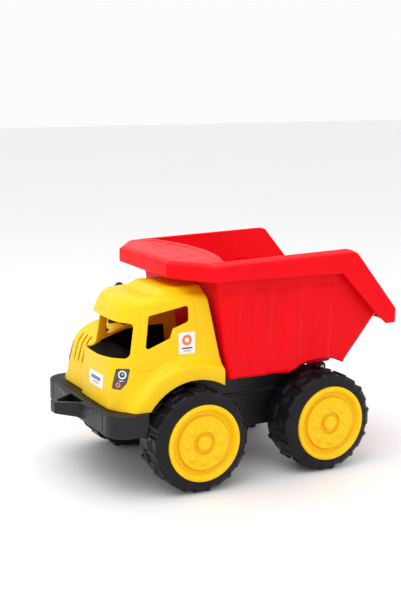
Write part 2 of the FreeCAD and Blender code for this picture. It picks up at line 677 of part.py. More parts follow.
def make_exhaust():
    """Black moulding on the bonnet: an air-cleaner box with a leaning round exhaust stack."""
    roof = 156.5
    lean = math.radians(13.0)
    direction = Vector(0, math.sin(lean), math.cos(lean))
    radius = 5.0
    start = Vector(-40.0, FRONT_AXLE - 36.0, roof) - direction * 6
    pipe = Part.makeCylinder(radius, 46.0, start, direction)
    cap = Part.makeSphere(radius, start + direction * 46.0)
    housing = side_prism(from_axle([(-31.0, roof), (-27.0, 184.0), (10.0, 184.0), (16.0, roof)], FRONT_AXLE),
                         -54.0, -20.0)
    shape = pipe.fuse(cap).fuse(housing)
    shape = shape.cut(box(-FAR, FAR, -FAR, FAR, 0, roof))
    return single_solid(shape)


def make_decal(outline_prism):
    """A thin sticker that follows the body's surface inside the given prism."""
    skin = body_solid(-dim("decal_thickness")).cut(body_solid(0.0))
    pieces = skin.common(outline_prism).Solids
    return max(pieces, key=lambda solid: solid.Volume)


feature("cab_shell", make_cab_shell())
feature("cab_interior", make_cab_interior())
feature("exhaust_stack", make_exhaust())


# ---------------------------------------------------------------- stickers
def side_box(side, behind_front, behind_rear, z_low, z_high, radius):
    """A prism with rounded corners that crosses one side of the cab."""
    outline = from_axle([(behind_front, z_low), (behind_rear, z_low), (behind_rear, z_high),
                         (behind_front, z_high)], FRONT_AXLE)
    wire = closed_wire([Vector(side * 60, y, z) for y, z in outline])
    wire = wire.makeOffset2D(-radius).makeOffset2D(radius)
    return Part.Face(wire).extrude(Vector(side * 60, 0, 0))


def headlight_prism(side):
    """A leaning four-sided prism that crosses one front corner of the body, square to the corner."""
    outward = Vector(side, -1.15, 0).normalize()
    along = Vector(outward.y, -outward.x, 0) * (-side)
    centre = Vector(side * 74.5, FRONT_AXLE - 79.0, 124.0)
    corners = [(-9.5, -10.5), (1.0, -11.0), (7.0, -4.0), (9.5, 10.0), (8.0, 11.0), (-3.5, 10.5), (-5.5, 9.0)]
    points = [centre + along * u + Vector(0, 0, w) - outward * 12 for u, w in corners]
    return Part.Face(closed_wire(points)).extrude(outward * 30)


def badge_prism():
    """A rounded rectangle that crosses the cab's front under the windscreen."""
    points = [Vector(x, FRONT_AXLE - 100, z) for x, z in ((15, 108), (49, 108), (49, 123), (15, 123))]
    wire = closed_wire(points).makeOffset2D(-4.0).makeOffset2D(4.0)
    return Part.Face(wire).extrude(Vector(0, 30, 0))


feature("headlight_decal_left", make_decal(headlight_prism(1)))
feature("headlight_decal_right", make_decal(headlight_prism(-1)))
feature("front_badge_decal", make_decal(badge_prism()))
feature("side_decal_left", make_decal(side_box(1, -14.8, 4.2, 143.6, 166.4, 5.0)))


# ---------------------------------------------------------------- dump bed
BED_SIDE = [(-113.0, 110.0), (30.5, 110.0), (70.0, 162.3), (88.0, 172.5), (30.5, 241.5), (-134.5, 238.0)]
CAVITY_SIDE = [*BED_SIDE[:4], (88.0, 300.0), (-144.9, 300.0)]
RIM_SIDE = [(-141.5, 219.5), (16.0, 217.0), (64.0, 166.5), (68.5, 162.3), (75.5, 156.5), (88.5, 156.5),
            (88.5, 173.0), (84.0, 178.5), (36.0, 236.5), (30.0, 241.5), (22.0, 242.0), (-141.5, 237.5)]
RIM_SPACE = [(-160.0, 200.0), (0.0, 200.0), (60.0, 140.0), (86.1, 140.0), (86.1, 172.1), (82.2, 177.0),
             (34.6, 234.6), (29.4, 239.1), (21.9, 239.6), (-160.0, 234.6)]


def tub(wall):
    """The hopper's outer form, or with a wall thickness the cavity inside it, open upwards."""
    outline = from_axle(BED_SIDE if wall == 0 else CAVITY_SIDE, REAR_AXLE)
    sides = side_prism(outline, -FAR, FAR, -wall)
    floor, top = dim("bed_floor"), 300.0
    slope = (dim("bed_half_top") - dim("bed_half_floor")) / (dim("rim_height") - floor)
    low = dim("bed_half_floor") - wall
    high = low + slope * (top - floor)
    taper = front_prism([(-low, floor), (low, floor), (high, top), (-high, top)], -FAR, FAR)
    return sides.common(taper)


def opening_prism():
    """The hopper's mouth: straight sides and a front edge that bows towards the rear."""
    half = dim("rim_opening")
    y_corner, y_middle = REAR_AXLE - 123.5, REAR_AXLE - 105.0
    left, right = Vector(half, y_corner, 150), Vector(-half, y_corner, 150)
    back_left, back_right = Vector(half, REAR_AXLE + 86.0, 150), Vector(-half, REAR_AXLE + 86.0, 150)
    wire = Part.Wire([
        Part.Arc(left, Vector(0, y_middle, 150), right).toShape(),
        Part.LineSegment(right, back_right).toShape(),
        Part.LineSegment(back_right, back_left).toShape(),
        Part.LineSegment(back_left, left).toShape(),
    ])
    return Part.Face(wire).extrude(Vector(0, 0, 150))


def canopy_wire(z, inset):
    """Plan of the canopy that reaches over the cab, running back under the rim."""
    plan = [(-58.0, -173.5), (58.0, -173.5), (98.0, -144.5), (102.0, -140.5), (102.0, -90.0),
            (-102.0, -90.0), (-102.0, -140.5), (-98.0, -144.5)]
    return grown(closed_wire([Vector(x, REAR_AXLE + y, z) for x, y in plan]), -inset)


def make_canopy(wall):
    """The canopy's solid form with a bevelled top edge, or with a wall thickness the space under it."""
    skirt = dim("rim_skirt") + 1.5 if wall == 0 else 200.0
    shoulder, top = 236.5 - wall, 240.0 - wall
    block = Part.Face(canopy_wire(skirt, wall)).extrude(Vector(0, 0, shoulder - skirt))
    cap = Part.makeLoft([canopy_wire(shoulder, wall), canopy_wire(top, wall + 5.0)], True, True)
    return block.fuse(cap)


def rim_bevel(side, drop):
    """What lies above the rim's outward-falling top edge on one side, lowered by drop."""
    sections = []
    for y, top in ((REAR_AXLE - 176.0, 237.5), (REAR_AXLE + 22.0, 242.0), (REAR_AXLE + 36.0, 242.0)):
        sections.append(closed_wire([Vector(side * x, y, z - drop) for x, z in
                                     ((90.0, top), (110.0, top + 6.0 + drop), (110.0, top - 6.5))]))
    return Part.makeLoft(sections, True, True)


def make_dump_bed():
    """Open-topped hopper with a hollow rim, a sloping tail and a canopy that reaches over the cab."""
    wall = dim("bed_wall")
    half = dim("rim_half_width")
    rim = side_prism(from_axle(RIM_SIDE, REAR_AXLE), -half, half)
    rim_space = side_prism(from_axle(RIM_SPACE, REAR_AXLE), wall - half, half - wall)
    canopy_space = make_canopy(wall)
    for side in (-1, 1):
        rim_space = rim_space.cut(rim_bevel(side, wall))
        canopy_space = canopy_space.cut(rim_bevel(side, wall))
    rim = rim.cut(rim_space)
    tub_outer = tub(0.0)
    cavity = tub(wall)
    bed = rim.fuse(make_canopy(0.0).cut(canopy_space))
    bed = bed.cut(cavity.common(opening_prism()))
    bed = bed.fuse(tub_outer.cut(cavity))
    # the rim's top edge falls away outwards
    for side in (-1, 1):
        bed = bed.cut(rim_bevel(side, 0.0))
    # lugs under the floor, on the hinge pin
    for side in (-1, 1):
        low, high = span(side, 33.0, 43.0)
        lug = cross_cylinder(6.0, low, high, HINGE_Y, HINGE_Z)
        web = box(low, high, HINGE_Y - 6.0, HINGE_Y + 6.0, HINGE_Z, dim("bed_floor") + 1.0)
        bed = bed.fuse(lug).fuse(web)
    bed = bed.cut(cross_cylinder(dim("pin_radius") + dim("running_gap"), -60, 60, HINGE_Y, HINGE_Z))
    # arches over the rear wheels, lined so that the hopper stays closed
    arch = dim("bed_arch_radius")
    for side in (-1, 1):
        low, high = span(side, 58.0, 112.0)
        lining = cross_cylinder(arch + wall, low - wall, high + wall, REAR_AXLE, AXLE_HEIGHT)
        bed = bed.fuse(lining.common(tub_outer))
        bed = bed.cut(cross_cylinder(arch, low, high, REAR_AXLE, AXLE_HEIGHT))
    return single_solid(bed)


feature("dump_bed", make_dump_bed())


def export_parts():
    """Check every object and sub-part, then write each sub-part as its own STEP file."""
    DOC.recompute()
    for item in DOC.Objects:
        if "Invalid" in item.State or "Error" in item.State:
            raise RuntimeError(f"{item.Label} failed: {item.State}")
    os.makedirs("parts", exist_ok=True)
    for part in PARTS:
        shape = part.Shape
        if shape.isNull() or not shape.isValid():
            raise RuntimeError(f"{part.Label} has no valid shape")
        print(f"{part.Label}: {len(shape.Solids)} solid(s), {shape.Volume / 1000:.1f} cm3, {shape.BoundBox}")
        shape.exportStep(f"parts/{part.Label}.step")


export_parts()
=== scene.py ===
"""Looks of the push along dump truck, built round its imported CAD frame.

Every moulded piece is described as a signed distance field in millimetres, in the CAD's own frame,
and is turned into a smooth mesh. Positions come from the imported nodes' boxes and joints.
"""

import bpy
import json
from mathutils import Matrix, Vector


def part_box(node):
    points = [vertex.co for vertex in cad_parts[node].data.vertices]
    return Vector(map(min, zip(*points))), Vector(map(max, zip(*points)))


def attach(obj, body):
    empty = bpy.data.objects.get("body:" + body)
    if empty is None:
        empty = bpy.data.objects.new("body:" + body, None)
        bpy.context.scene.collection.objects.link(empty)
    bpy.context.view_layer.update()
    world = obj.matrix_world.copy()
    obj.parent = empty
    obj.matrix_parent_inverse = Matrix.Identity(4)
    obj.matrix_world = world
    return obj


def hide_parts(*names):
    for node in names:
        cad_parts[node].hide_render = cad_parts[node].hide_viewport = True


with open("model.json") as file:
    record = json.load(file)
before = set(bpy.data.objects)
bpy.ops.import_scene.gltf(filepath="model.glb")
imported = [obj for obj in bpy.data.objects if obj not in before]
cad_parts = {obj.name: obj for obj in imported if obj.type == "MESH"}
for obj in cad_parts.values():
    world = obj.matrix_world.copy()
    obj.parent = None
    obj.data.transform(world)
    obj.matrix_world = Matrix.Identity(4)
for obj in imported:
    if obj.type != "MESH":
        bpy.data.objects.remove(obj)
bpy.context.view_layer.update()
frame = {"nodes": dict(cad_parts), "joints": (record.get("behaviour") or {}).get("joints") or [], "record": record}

import copy
import json
import math

import bpy
import numpy as np
from mathutils import Matrix, Vector

MM = 0.001

# ---------------------------------------------------------------- places read from the frame
joints = {joint["name"]: joint for joint in frame["joints"]}


def node_box(node):
    """Lowest and highest corner of a CAD node, in millimetres."""
    low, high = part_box(node)
    return [value / MM for value in low], [value / MM for value in high]


def limit(node, end, axis):
    """One limit of a CAD node's box, to a tenth of a millimetre."""
    return round(node_box(node)[end][axis], 1)


def joint_point(name):
    """A joint's place, in millimetres."""
    return [value / MM for value in joints[name]["pos_m"]]


LOW, HIGH = 0, 1                   # ends of a node's box
X, Y, Z = 0, 1, 2                  # X to the truck's left, Y to its rear, Z up
FRONT_AXLE, AXLE_HEIGHT = joint_point("front_left_wheel_spin")[1:]
REAR_AXLE = joint_point("rear_left_wheel_spin")[1]
HINGE_Y, HINGE_Z = joint_point("bed_tip")[1:]
BODY_FOOT = limit("cab_shell", LOW, Z)         # lower edge of the yellow body
FENDER_FACE = limit("cab_shell", HIGH, X)      # flat outer face of the front fenders
BONNET_TOP = limit("exhaust_stack", LOW, Z)
BED_TOP = limit("dump_bed", HIGH, Z)
RIM_HALF = limit("dump_bed", HIGH, X)
HUB_FACE = limit("hub_front_left", HIGH, X)
BUMPER_LOW = limit("front_bumper", LOW, Z)
BUMPER_HALF = limit("front_bumper", HIGH, X)
NOSE_TIP = limit("front_bumper", LOW, Y)       # front end of the tow loop

WALL = 2.2                         # wall of the yellow mouldings
BED_WALL = 2.4                     # wall of the red moulding
PLASTIC = 2.6                      # wall of the black mouldings
CAB_RIGHT = -14.0                  # the offset cab's right wall; the bonnet is beyond it
ARCH_RADIUS = 62.6                 # front wheel arches
ARCH_INNER = 57.0                  # how far in the wheel arches reach
DECK = 107.0                       # top of the chassis under the cab
DECK_HALF = 56.3                   # half width of the room that the body and bumper leave for it
BUMPER_TOP = 90.0
BUMPER_FRONT = FRONT_AXLE - 95.5
BED_FLOOR = 110.0                  # underside of the hopper's floor


# ---------------------------------------------------------------- distance fields
FAR = np.float32(1e9)              # more than any distance in a field
NO_LIMIT = -9.0                    # deep enough inside to leave the other shape as it is


class Grid:
    """Sample points on a regular lattice round a box, with broadcastable coordinates."""

    def __init__(self, low, high, step):
        self.step = step
        self.origin = np.array(low, np.float64) - 2 * step
        counts = np.ceil((np.array(high) - np.array(low)) / step).astype(int) + 5
        axes = [(np.arange(count) * step + start).astype(np.float32)
                for count, start in zip(counts, self.origin)]
        self.x = axes[0][:, None, None]
        self.y = axes[1][None, :, None]
        self.z = axes[2][None, None, :]
        self.shape = tuple(counts)

    def level(self, height):
        """The same lattice with all its samples at one height."""
        flat = copy.copy(self)
        flat.z = np.full((1, 1, 3), height, np.float32)
        return flat


def round_union(a, b, radius):
    """Union with a fillet of the given radius where the two surfaces meet."""
    reach = np.hypot(np.maximum(radius - a, 0), np.maximum(radius - b, 0))
    return np.maximum(np.minimum(a, b), radius) - reach


def round_common(a, b, radius):
    """Intersection with its shared edge rounded to the given radius."""
    reach = np.hypot(np.maximum(radius + a, 0), np.maximum(radius + b, 0))
    return np.minimum(np.maximum(a, b), -radius) + reach


def round_cut(a, b, radius):
    """a without b, with the new edge rounded."""
    return round_common(a, -b, radius)


def shifted_lines(points, distance):
    """The polygon with every edge moved inwards by distance."""
    points = [np.array(p, float) for p in points]
    area = sum(a[0] * b[1] - b[0] * a[1] for a, b in zip(points, points[1:] + points[:1]))
    if area < 0:
        points.reverse()
    moved = []
    for before, here, after in zip(points[-1:] + points[:-1], points, points[1:] + points[:1]):
        d1 = (here - before) / np.linalg.norm(here - before)
        d2 = (after - here) / np.linalg.norm(after - here)
        n1 = np.array([-d1[1], d1[0]])
        n2 = np.array([-d2[1], d2[0]])
        moved.append(here + (n1 + n2) * distance / (1 + n1 @ n2))
    return moved


def polygon(u, v, points, radius=0.0):
    """Signed distance to a polygon in the plane (u, v), its outward corners rounded."""
    points = shifted_lines(points, radius)
    best = FAR
    inside = np.zeros(np.broadcast(u, v).shape, bool)
    for a, b in zip(points, points[1:] + points[:1]):
        du, dv = b - a
        along = np.clip(((u - a[0]) * du + (v - a[1]) * dv) / (du * du + dv * dv), 0, 1)
        gap = (u - a[0] - along * du) ** 2 + (v - a[1] - along * dv) ** 2
        best = np.minimum(best, gap)
        edge_u = a[0] + (v - a[1]) * du / (dv if dv else 1e-9)
        inside ^= ((a[1] > v) != (b[1] > v)) & (u < edge_u)
    return (np.where(inside, -1, 1) * np.sqrt(best) - radius).astype(np.float32)


def slab(value, low, high):
    """Distance to the space between two parallel planes."""
    return np.abs(value - (low + high) / 2) - (high - low) / 2


def block(grid, low, high, radius=0.0):
    """A box with rounded edges."""
    parts = [np.abs(c - (a + b) / 2) - (b - a) / 2 + radius
             for c, a, b in zip((grid.x, grid.y, grid.z), low, high)]
    outside = np.sqrt(sum(np.maximum(p, 0) ** 2 for p in parts))
    return outside + np.minimum(np.maximum(np.maximum(parts[0], parts[1]), parts[2]), 0) - radius


def smooth_step(value, low, high):
    """0 below low, 1 above high, and an even curve between them."""
    t = np.clip((value - low) / (high - low), 0, 1)
    return t * t * (3 - 2 * t)


def line_distance(u, v, points):
    """Unsigned distance in a plane to an open run of straight lines."""
    best = FAR
    for a, b in zip(points, points[1:]):
        du, dv = b[0] - a[0], b[1] - a[1]
        along = np.clip(((u - a[0]) * du + (v - a[1]) * dv) / (du * du + dv * dv), 0, 1)
        best = np.minimum(best, np.hypot(u - a[0] - along * du, v - a[1] - along * dv))
    return best


# ---------------------------------------------------------------- from field to mesh
CORNERS = [(i, j, k) for i in (0, 1) for j in (0, 1) for k in (0, 1)]
EDGES = [(a, b) for a in range(8) for b in range(a + 1, 8)
         if sum(abs(p - q) for p, q in zip(CORNERS[a], CORNERS[b])) == 1]


def surface(field, grid):
    """Vertices and quads of a field's zero surface: one vertex in each cell that it crosses."""
    field = np.broadcast_to(field, grid.shape)
    inside = field < 0
    cells = tuple(n - 1 for n in grid.shape)
    count = np.zeros(cells, np.int8)
    for i, j, k in CORNERS:
        count += inside[i:i + cells[0], j:j + cells[1], k:k + cells[2]]
    active = np.argwhere((count > 0) & (count < 8))
    number = np.full(cells, -1, np.int32)
    number[tuple(active.T)] = np.arange(len(active))
    x, y, z = active.T
    values = np.stack([field[x + i, y + j, z + k] for i, j, k in CORNERS], 1)
    total = np.zeros((len(active), 3))
    hits = np.zeros((len(active), 1))
    for a, b in EDGES:
        va, vb = values[:, a:a + 1], values[:, b:b + 1]
        crossed = (va < 0) != (vb < 0)
        share = np.where(crossed, va / np.where(crossed, va - vb, 1), 0)
        point = np.array(CORNERS[a]) + share * (np.array(CORNERS[b]) - np.array(CORNERS[a]))
        total += np.where(crossed, point, 0)
        hits += crossed
    vertices = (active + total / hits) * grid.step + grid.origin
    quads = []
    for axis in range(3):
        one, two = [a for a in range(3) if a != axis]
        low = [slice(1, n - 1) for n in grid.shape]
        low[axis] = slice(0, grid.shape[axis] - 1)
        high = list(low)
        high[axis] = slice(1, grid.shape[axis])
        first, second = inside[tuple(low)], inside[tuple(high)]
        for entering in (True, False):
            places = np.argwhere((first != second) & (second == entering))
            start = places + [0 if a == axis else 1 for a in range(3)]
            ring = []
            for s, t in ((-1, -1), (0, -1), (0, 0), (-1, 0)):
                cell = start.copy()
                cell[:, one] += s
                cell[:, two] += t
                ring.append(number[tuple(cell.T)])
            turned = entering != (axis == 1)
            quads.append(np.stack(ring[::-1] if turned else ring, 1))
    return vertices, np.concatenate(quads)


def make_mesh(name, vertices, quads):
    """A mesh in metres from vertices in millimetres."""
    mesh = bpy.data.meshes.new(name)
    mesh.from_pydata((vertices * MM).tolist(), [], quads.tolist())
    shade_smooth(mesh)
    mesh.update()
    return mesh


def shade_smooth(mesh):
    """All faces shaded smooth."""
    mesh.polygons.foreach_set("use_smooth", np.ones(len(mesh.polygons), bool))


def thinned(mesh, keep):
    """The mesh with only the given share of its faces, the flat places thinned most."""
    carrier = bpy.data.objects.new("carrier", mesh)
    bpy.context.scene.collection.objects.link(carrier)
    thin = carrier.modifiers.new("thin", "DECIMATE")
    thin.ratio = keep
    bpy.context.view_layer.update()
    evaluated = carrier.evaluated_get(bpy.context.evaluated_depsgraph_get())
    result = bpy.data.meshes.new_from_object(evaluated)
    bpy.data.objects.remove(carrier)
    bpy.data.meshes.remove(mesh)
    shade_smooth(result)
    return result


def moulded(name, field, grid, body, node, material, keep):
    """A piece whose surface is the field's zero; keep is the share of faces left after thinning."""
    mesh = thinned(make_mesh(name, *surface(field, grid)), keep)
    mesh.materials.append(material)
    piece = bpy.data.objects.new(name, mesh)
    bpy.context.scene.collection.objects.link(piece)
    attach(piece, body)
    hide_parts(node)


def node_grid(node, step, margin=0.0):
    """A grid over a CAD node's box, with an equal margin on all sides."""
    low, high = node_box(node)
    return Grid([v - margin for v in low], [v + margin for v in high], step)


# ---------------------------------------------------------------- materials
class Nodes:
    """Short forms for building a material's node tree."""

    def __init__(self, name):
        self.material = bpy.data.materials.new(name)
        self.material.use_nodes = True
        self.tree = self.material.node_tree
        self.shader = self.tree.nodes["Principled BSDF"]
        coords = self.tree.nodes.new("ShaderNodeTexCoord")
        self.place = coords.outputs["Object"]

    def set(self, **values):
        """Sets the shader's own sockets, named with _ for each space."""
        for name, value in values.items():
            self.shader.inputs[name.replace("_", " ")].default_value = value
        return self

    def link(self, output, name):
        self.tree.links.new(output, self.shader.inputs[name])

    def noise(self, size_mm, detail=3.0, roughness=0.55, stretch=(1, 1, 1), distortion=0.0):
        """Noise whose features are about size_mm across, drawn out along the axes by stretch."""
        mapping = self.tree.nodes.new("ShaderNodeMapping")
        mapping.inputs["Scale"].default_value = [1 / s for s in stretch]
        self.tree.links.new(self.place, mapping.inputs["Vector"])
        node = self.tree.nodes.new("ShaderNodeTexNoise")
        node.inputs["Scale"].default_value = 1 / (size_mm * MM)
        node.inputs["Detail"].default_value = detail
        node.inputs["Roughness"].default_value = roughness
        node.inputs["Distortion"].default_value = distortion
        self.tree.links.new(mapping.outputs["Vector"], node.inputs["Vector"])
        return node.outputs["Fac"]

    def remap(self, value, low, high, to_low, to_high, smooth=False):
        node = self.tree.nodes.new("ShaderNodeMapRange")
        if smooth:
            node.interpolation_type = "SMOOTHSTEP"
        for index, number in enumerate((low, high, to_low, to_high), start=1):
            node.inputs[index].default_value = number
        self.tree.links.new(value, node.inputs["Value"])
        return node.outputs["Result"]

    def math(self, operation, a, b=None):
        node = self.tree.nodes.new("ShaderNodeMath")
        node.operation = operation
        for index, value in enumerate((a, b)):
            if value is None:
                continue
            if isinstance(value, (int, float)):
                node.inputs[index].default_value = value
            else:
                self.tree.links.new(value, node.inputs[index])
        return node.outputs[0]

    def mix(self, share, a, b):
        node = self.tree.nodes.new("ShaderNodeMix")
        node.data_type = "RGBA"
        self.tree.links.new(share, node.inputs["Factor"])
        for socket, value in (("A", a), ("B", b)):
            target = next(i for i in node.inputs if i.name == socket and i.type == "RGBA")
            if isinstance(value, tuple):
                target.default_value = (*value, 1.0)
            else:
                self.tree.links.new(value, target)
        return next(o for o in node.outputs if o.type == "RGBA")

    def bump(self, heights, depth_mm, strength=1.0):
        node = self.tree.nodes.new("ShaderNodeBump")
        node.inputs["Strength"].default_value = strength
        node.inputs["Distance"].default_value = depth_mm * MM
        self.tree.links.new(heights, node.inputs["Height"])
        self.link(node.outputs["Normal"], "Normal")


# reach of the ambient occlusion that decides where painted shade goes
PAINTED_SHADE_REACH = 120 * MM           # how far off a wall still shelters a place
GLOW_RADIUS = (1.0, 0.38, 0.04)    # red light travels furthest inside yellow plastic
GLOW_DEPTH = 5 * MM


def plastic(name, *, colour, shade, roughness, grain_mm, grain_depth, wear, shine, glow=0.0, painted_shade_colour=None):
    """Moulded plastic: faint flow marks in the colour, a fine moulded grain, edges rubbed paler, and, when asked,
    painted shade in sheltered places.

    shade is the colour of the flow marks, wear how pale the edges are and shine the specular level.
    glow is the share of light that passes into the wall. The last colour is painted shade: sheltered places
    and creases are painted that deeper orange, standing in for light passing through and between the walls.
    """
    nodes = Nodes(name)
    flow = nodes.noise(38, detail=4.0, roughness=0.6, stretch=(1, 1, 2.2), distortion=0.6)
    body = nodes.mix(nodes.remap(flow, 0.35, 0.7, 0, 1), colour, shade)
    # painted shade: places that ambient occlusion finds sheltered take the deeper orange colour
    if painted_shade_colour:
        painted_shade_occlusion = nodes.tree.nodes.new("ShaderNodeAmbientOcclusion")
        painted_shade_occlusion.samples = 8
        painted_shade_occlusion.inputs["Distance"].default_value = PAINTED_SHADE_REACH
        painted_shade_mask = nodes.remap(painted_shade_occlusion.outputs["AO"], 0.12, 0.56, 1, 0)
        body = nodes.mix(painted_shade_mask, body, painted_shade_colour)
    geometry = nodes.tree.nodes.new("ShaderNodeNewGeometry")
    edge = nodes.remap(geometry.outputs["Pointiness"], 0.52, 0.62, 0, wear)
    patches = nodes.remap(nodes.noise(7), 0.4, 0.62, 0, 1)
    rubbed = nodes.math("MULTIPLY", edge, patches)
    pale = tuple(min(1.0, c * 0.75 + 0.22) for c in colour)
    nodes.link(nodes.mix(rubbed, body, pale), "Base Color")
    smear = nodes.noise(16, detail=5.0, roughness=0.65, stretch=(1, 3, 1))
    nodes.link(nodes.remap(smear, 0.3, 0.7, roughness - 0.05, roughness + 0.07), "Roughness")
    fine = nodes.noise(grain_mm, detail=2.0, roughness=0.5)
    wide = nodes.math("MULTIPLY", nodes.noise(9, detail=2.0), 1.6)
    nodes.bump(nodes.math("ADD", fine, wide), grain_depth)
    nodes.set(Specular_IOR_Level=shine)
    if glow:
        nodes.set(Subsurface_Weight=glow, Subsurface_Radius=GLOW_RADIUS, Subsurface_Scale=GLOW_DEPTH)
    return nodes.material


def steel(name):
    """Bright drawn steel with fine lines along the rod."""
    nodes = Nodes(name)
    lines = nodes.noise(0.5, roughness=0.6, stretch=(30, 1, 1))
    stain = nodes.remap(nodes.noise(6), 0.45, 0.7, 0, 1)
    nodes.link(nodes.mix(stain, (0.60, 0.60, 0.61), (0.42, 0.41, 0.40)), "Base Color")
    nodes.link(nodes.remap(lines, 0.3, 0.7, 0.22, 0.40), "Roughness")
    nodes.bump(lines, 0.02)
    nodes.set(Metallic=1.0)
    return nodes.material


INK_FADE = 0.15                    # half width of an ink's soft edge, in millimetres


def printed(name, ground, along, up, centre, layers):
    """A printed sticker whose plane runs along and up from its centre.

    Each layer is an ink, its middle (u, v) and half size in millimetres, and a power: 2 gives an
    ellipse, 8 almost a rectangle.
    """
    nodes = Nodes(name)
    flat = []
    for axis in (along, up):
        dot = nodes.tree.nodes.new("ShaderNodeVectorMath")
        dot.operation = "DOT_PRODUCT"
        nodes.tree.links.new(nodes.place, dot.inputs[0])
        dot.inputs[1].default_value = [value / MM for value in axis]
        offset = float(Vector(axis).dot(Vector(centre)))
        flat.append(nodes.math("SUBTRACT", dot.outputs["Value"], offset))
    fade = nodes.remap(nodes.noise(5), 0.3, 0.7, 0, 1)
    colour = nodes.mix(fade, ground, tuple(c * 0.93 for c in ground))
    for ink, (u, v), (half_u, half_v), power in layers:
        terms = []
        for axis, middle, half in ((flat[0], u, half_u), (flat[1], v, half_v)):
            share = nodes.math("DIVIDE", nodes.math("SUBTRACT", axis, middle), half)
            terms.append(nodes.math("POWER", nodes.math("ABSOLUTE", share), power))
        reach = nodes.math("POWER", nodes.math("ADD", *terms), 1 / power)
        edge = INK_FADE / min(half_u, half_v)
        mask = nodes.remap(reach, 1 - edge, 1 + edge, 1, 0, smooth=True)
        colour = nodes.mix(mask, colour, ink)
    nodes.link(colour, "Base Color")
    nodes.link(nodes.remap(nodes.noise(4), 0.3, 0.7, 0.20, 0.32), "Roughness")
    nodes.bump(nodes.noise(1.2), 0.03)
    nodes.set(Coat_Weight=0.4, Coat_Roughness=0.08)
    return nodes.material


# the yellow gets painted shade, a deeper orange, in its sheltered places and creases
YELLOW = plastic("yellow_moulding", colour=(0.95, 0.60, 0.003), shade=(0.93, 0.565, 0.003),
                 roughness=0.36, grain_mm=0.55, grain_depth=0.012, wear=0.12, shine=0.24,
                 glow=0.25, painted_shade_colour=(0.92, 0.33, 0.0))
RED = plastic("red_moulding", colour=(0.88, 0.0015, 0.008), shade=(0.80, 0.001, 0.006), roughness=0.38,
              grain_mm=0.55, grain_depth=0.014, wear=0.16, shine=0.10)
BLACK = plastic("black_moulding", colour=(0.008, 0.008, 0.010), shade=(0.012, 0.012, 0.014),
                roughness=0.38, grain_mm=0.5, grain_depth=0.02, wear=0.08, shine=0.30)
TYRE = plastic("tyre_moulding", colour=(0.007, 0.007, 0.009), shade=(0.011, 0.011, 0.014),
               roughness=0.33, grain_mm=0.7, grain_depth=0.03, wear=0.10, shine=0.17)
INTERIOR = plastic("interior_moulding", colour=(0.003, 0.002, 0.002), shade=(0.005, 0.003, 0.003),
                   roughness=0.55, grain_mm=0.8, grain_depth=0.012, wear=0.03, shine=0.03)
STEEL = steel("drawn_steel")


# ---------------------------------------------------------------- cab and bonnet
CAB_PLAN = [
    # height, front, bow, left side, right side, left corner, right corner
    (80.0, -87.6, 1.5, 81.5, CAB_RIGHT, 22.0, 8.0),
    (116.0, -86.8, 2.0, 81.0, CAB_RIGHT, 22.0, 8.0),
    (140.0, -84.5, 3.0, 80.3, CAB_RIGHT, 24.0, 8.0),
    (178.0, -74.0, 4.0, 78.3, -13.4, 25.0, 9.0),
    (212.0, -61.5, 4.5, 75.8, -12.4, 25.0, 9.0),
]
BONNET_PLAN = [
    # height, front, bow, inner side, outer side, inner corner, outer corner
    (80.0, -82.8, 1.0, -8.0, -81.5, 4.0, 20.0),
    (117.0, -77.5, 1.0, -8.0, -80.8, 4.0, 20.0),
    (133.0, -73.3, 1.0, -8.0, -79.2, 4.0, 20.0),
    (142.5, -69.3, 1.0, -8.0, -78.6, 4.0, 20.0),
    (160.0, -61.0, 1.0, -8.0, -77.6, 4.0, 20.0),
]
# side views, as distances behind the front axle and heights
SIDE_WINDOW = [(-2.4, 193.8), (-47.3, 186.3), (-52.2, 151.4),
               (-23.9, 161.7), (-20.8, 171.3), (-2.6, 177.0)]
RIGHT_WINDOW = [SIDE_WINDOW[0], (-51.5, 185.6), (-56.0, 150.0), *SIDE_WINDOW[3:]]
VISOR = 178.9                      # height of the visor's lower edge, over the windscreen
WINDSCREEN = [(-110.0, 141.0), (-110.0, VISOR), (-61.5, VISOR), (-67.5, 145.0), (-71.0, 141.0)]
DOOR_LINE = [(-61.8, 128.6), (-54.3, 189.0), (-51.5, 192.4), (4.1, 200.0),
             (11.6, 149.0), (-14.3, 142.2), (-35.0, 136.3), (-47.6, 130.3)]
FENDER_RADIUS = 78.0
ROOF = 203.6                       # lowest height of the cab's roof


def plan_body(grid, rows):
    """Distance to an upright body whose plan, given at several heights, has a bowed front."""
    heights = [row[0] for row in rows]
    front, bow, left, right, left_corner, right_corner = [
        np.interp(grid.z, heights, column).astype(np.float32) for column in list(zip(*rows))[1:]]
    across = np.clip((grid.x - (left + right) / 2) / ((left - right) / 2), -1, 1)
    slope = np.gradient(front[0, 0], grid.step)[None, None, :]
    ahead = (FRONT_AXLE + front + bow * across ** 2 - grid.y) / np.sqrt(1 + slope ** 2)
    return np.maximum(round_common(ahead, grid.x - left, left_corner),
                      round_common(ahead, right - grid.x, right_corner))


def cab_outside(grid):
    """The offset cab without its rear plane, with visor and raised rear roof."""
    walls = plan_body(grid, CAB_PLAN)
    visor = smooth_step(grid.z, 178.6, 179.6) * (1 - smooth_step(grid.z, 186.0, 206.0))
    walls = walls - 2.2 * visor * (1 - smooth_step(grid.x, 40.0, 74.0))
    fore = grid.y - FRONT_AXLE
    rise = smooth_step(fore, -39.0, -25.0) * smooth_step(grid.x, -9.0, 3.0)
    rise = rise * (1 - smooth_step(grid.x, 60.0, 71.0))
    roof = grid.z - ROOF - 6.4 * rise - 1.2 * smooth_step(fore, -60.0, -30.0)
    return round_common(walls, roof * 0.92, 8.5)


def bonnet_outside(grid):
    """The bonnet beside the cab, its top sloping down a little to the front."""
    walls = plan_body(grid, BONNET_PLAN)
    fore = grid.y - FRONT_AXLE
    top = grid.z - np.interp(fore, [-72.0, -36.0, 34.0], [151.5, 156.4, 156.4]).astype(np.float32)
    return round_common(walls, top, 16.0)


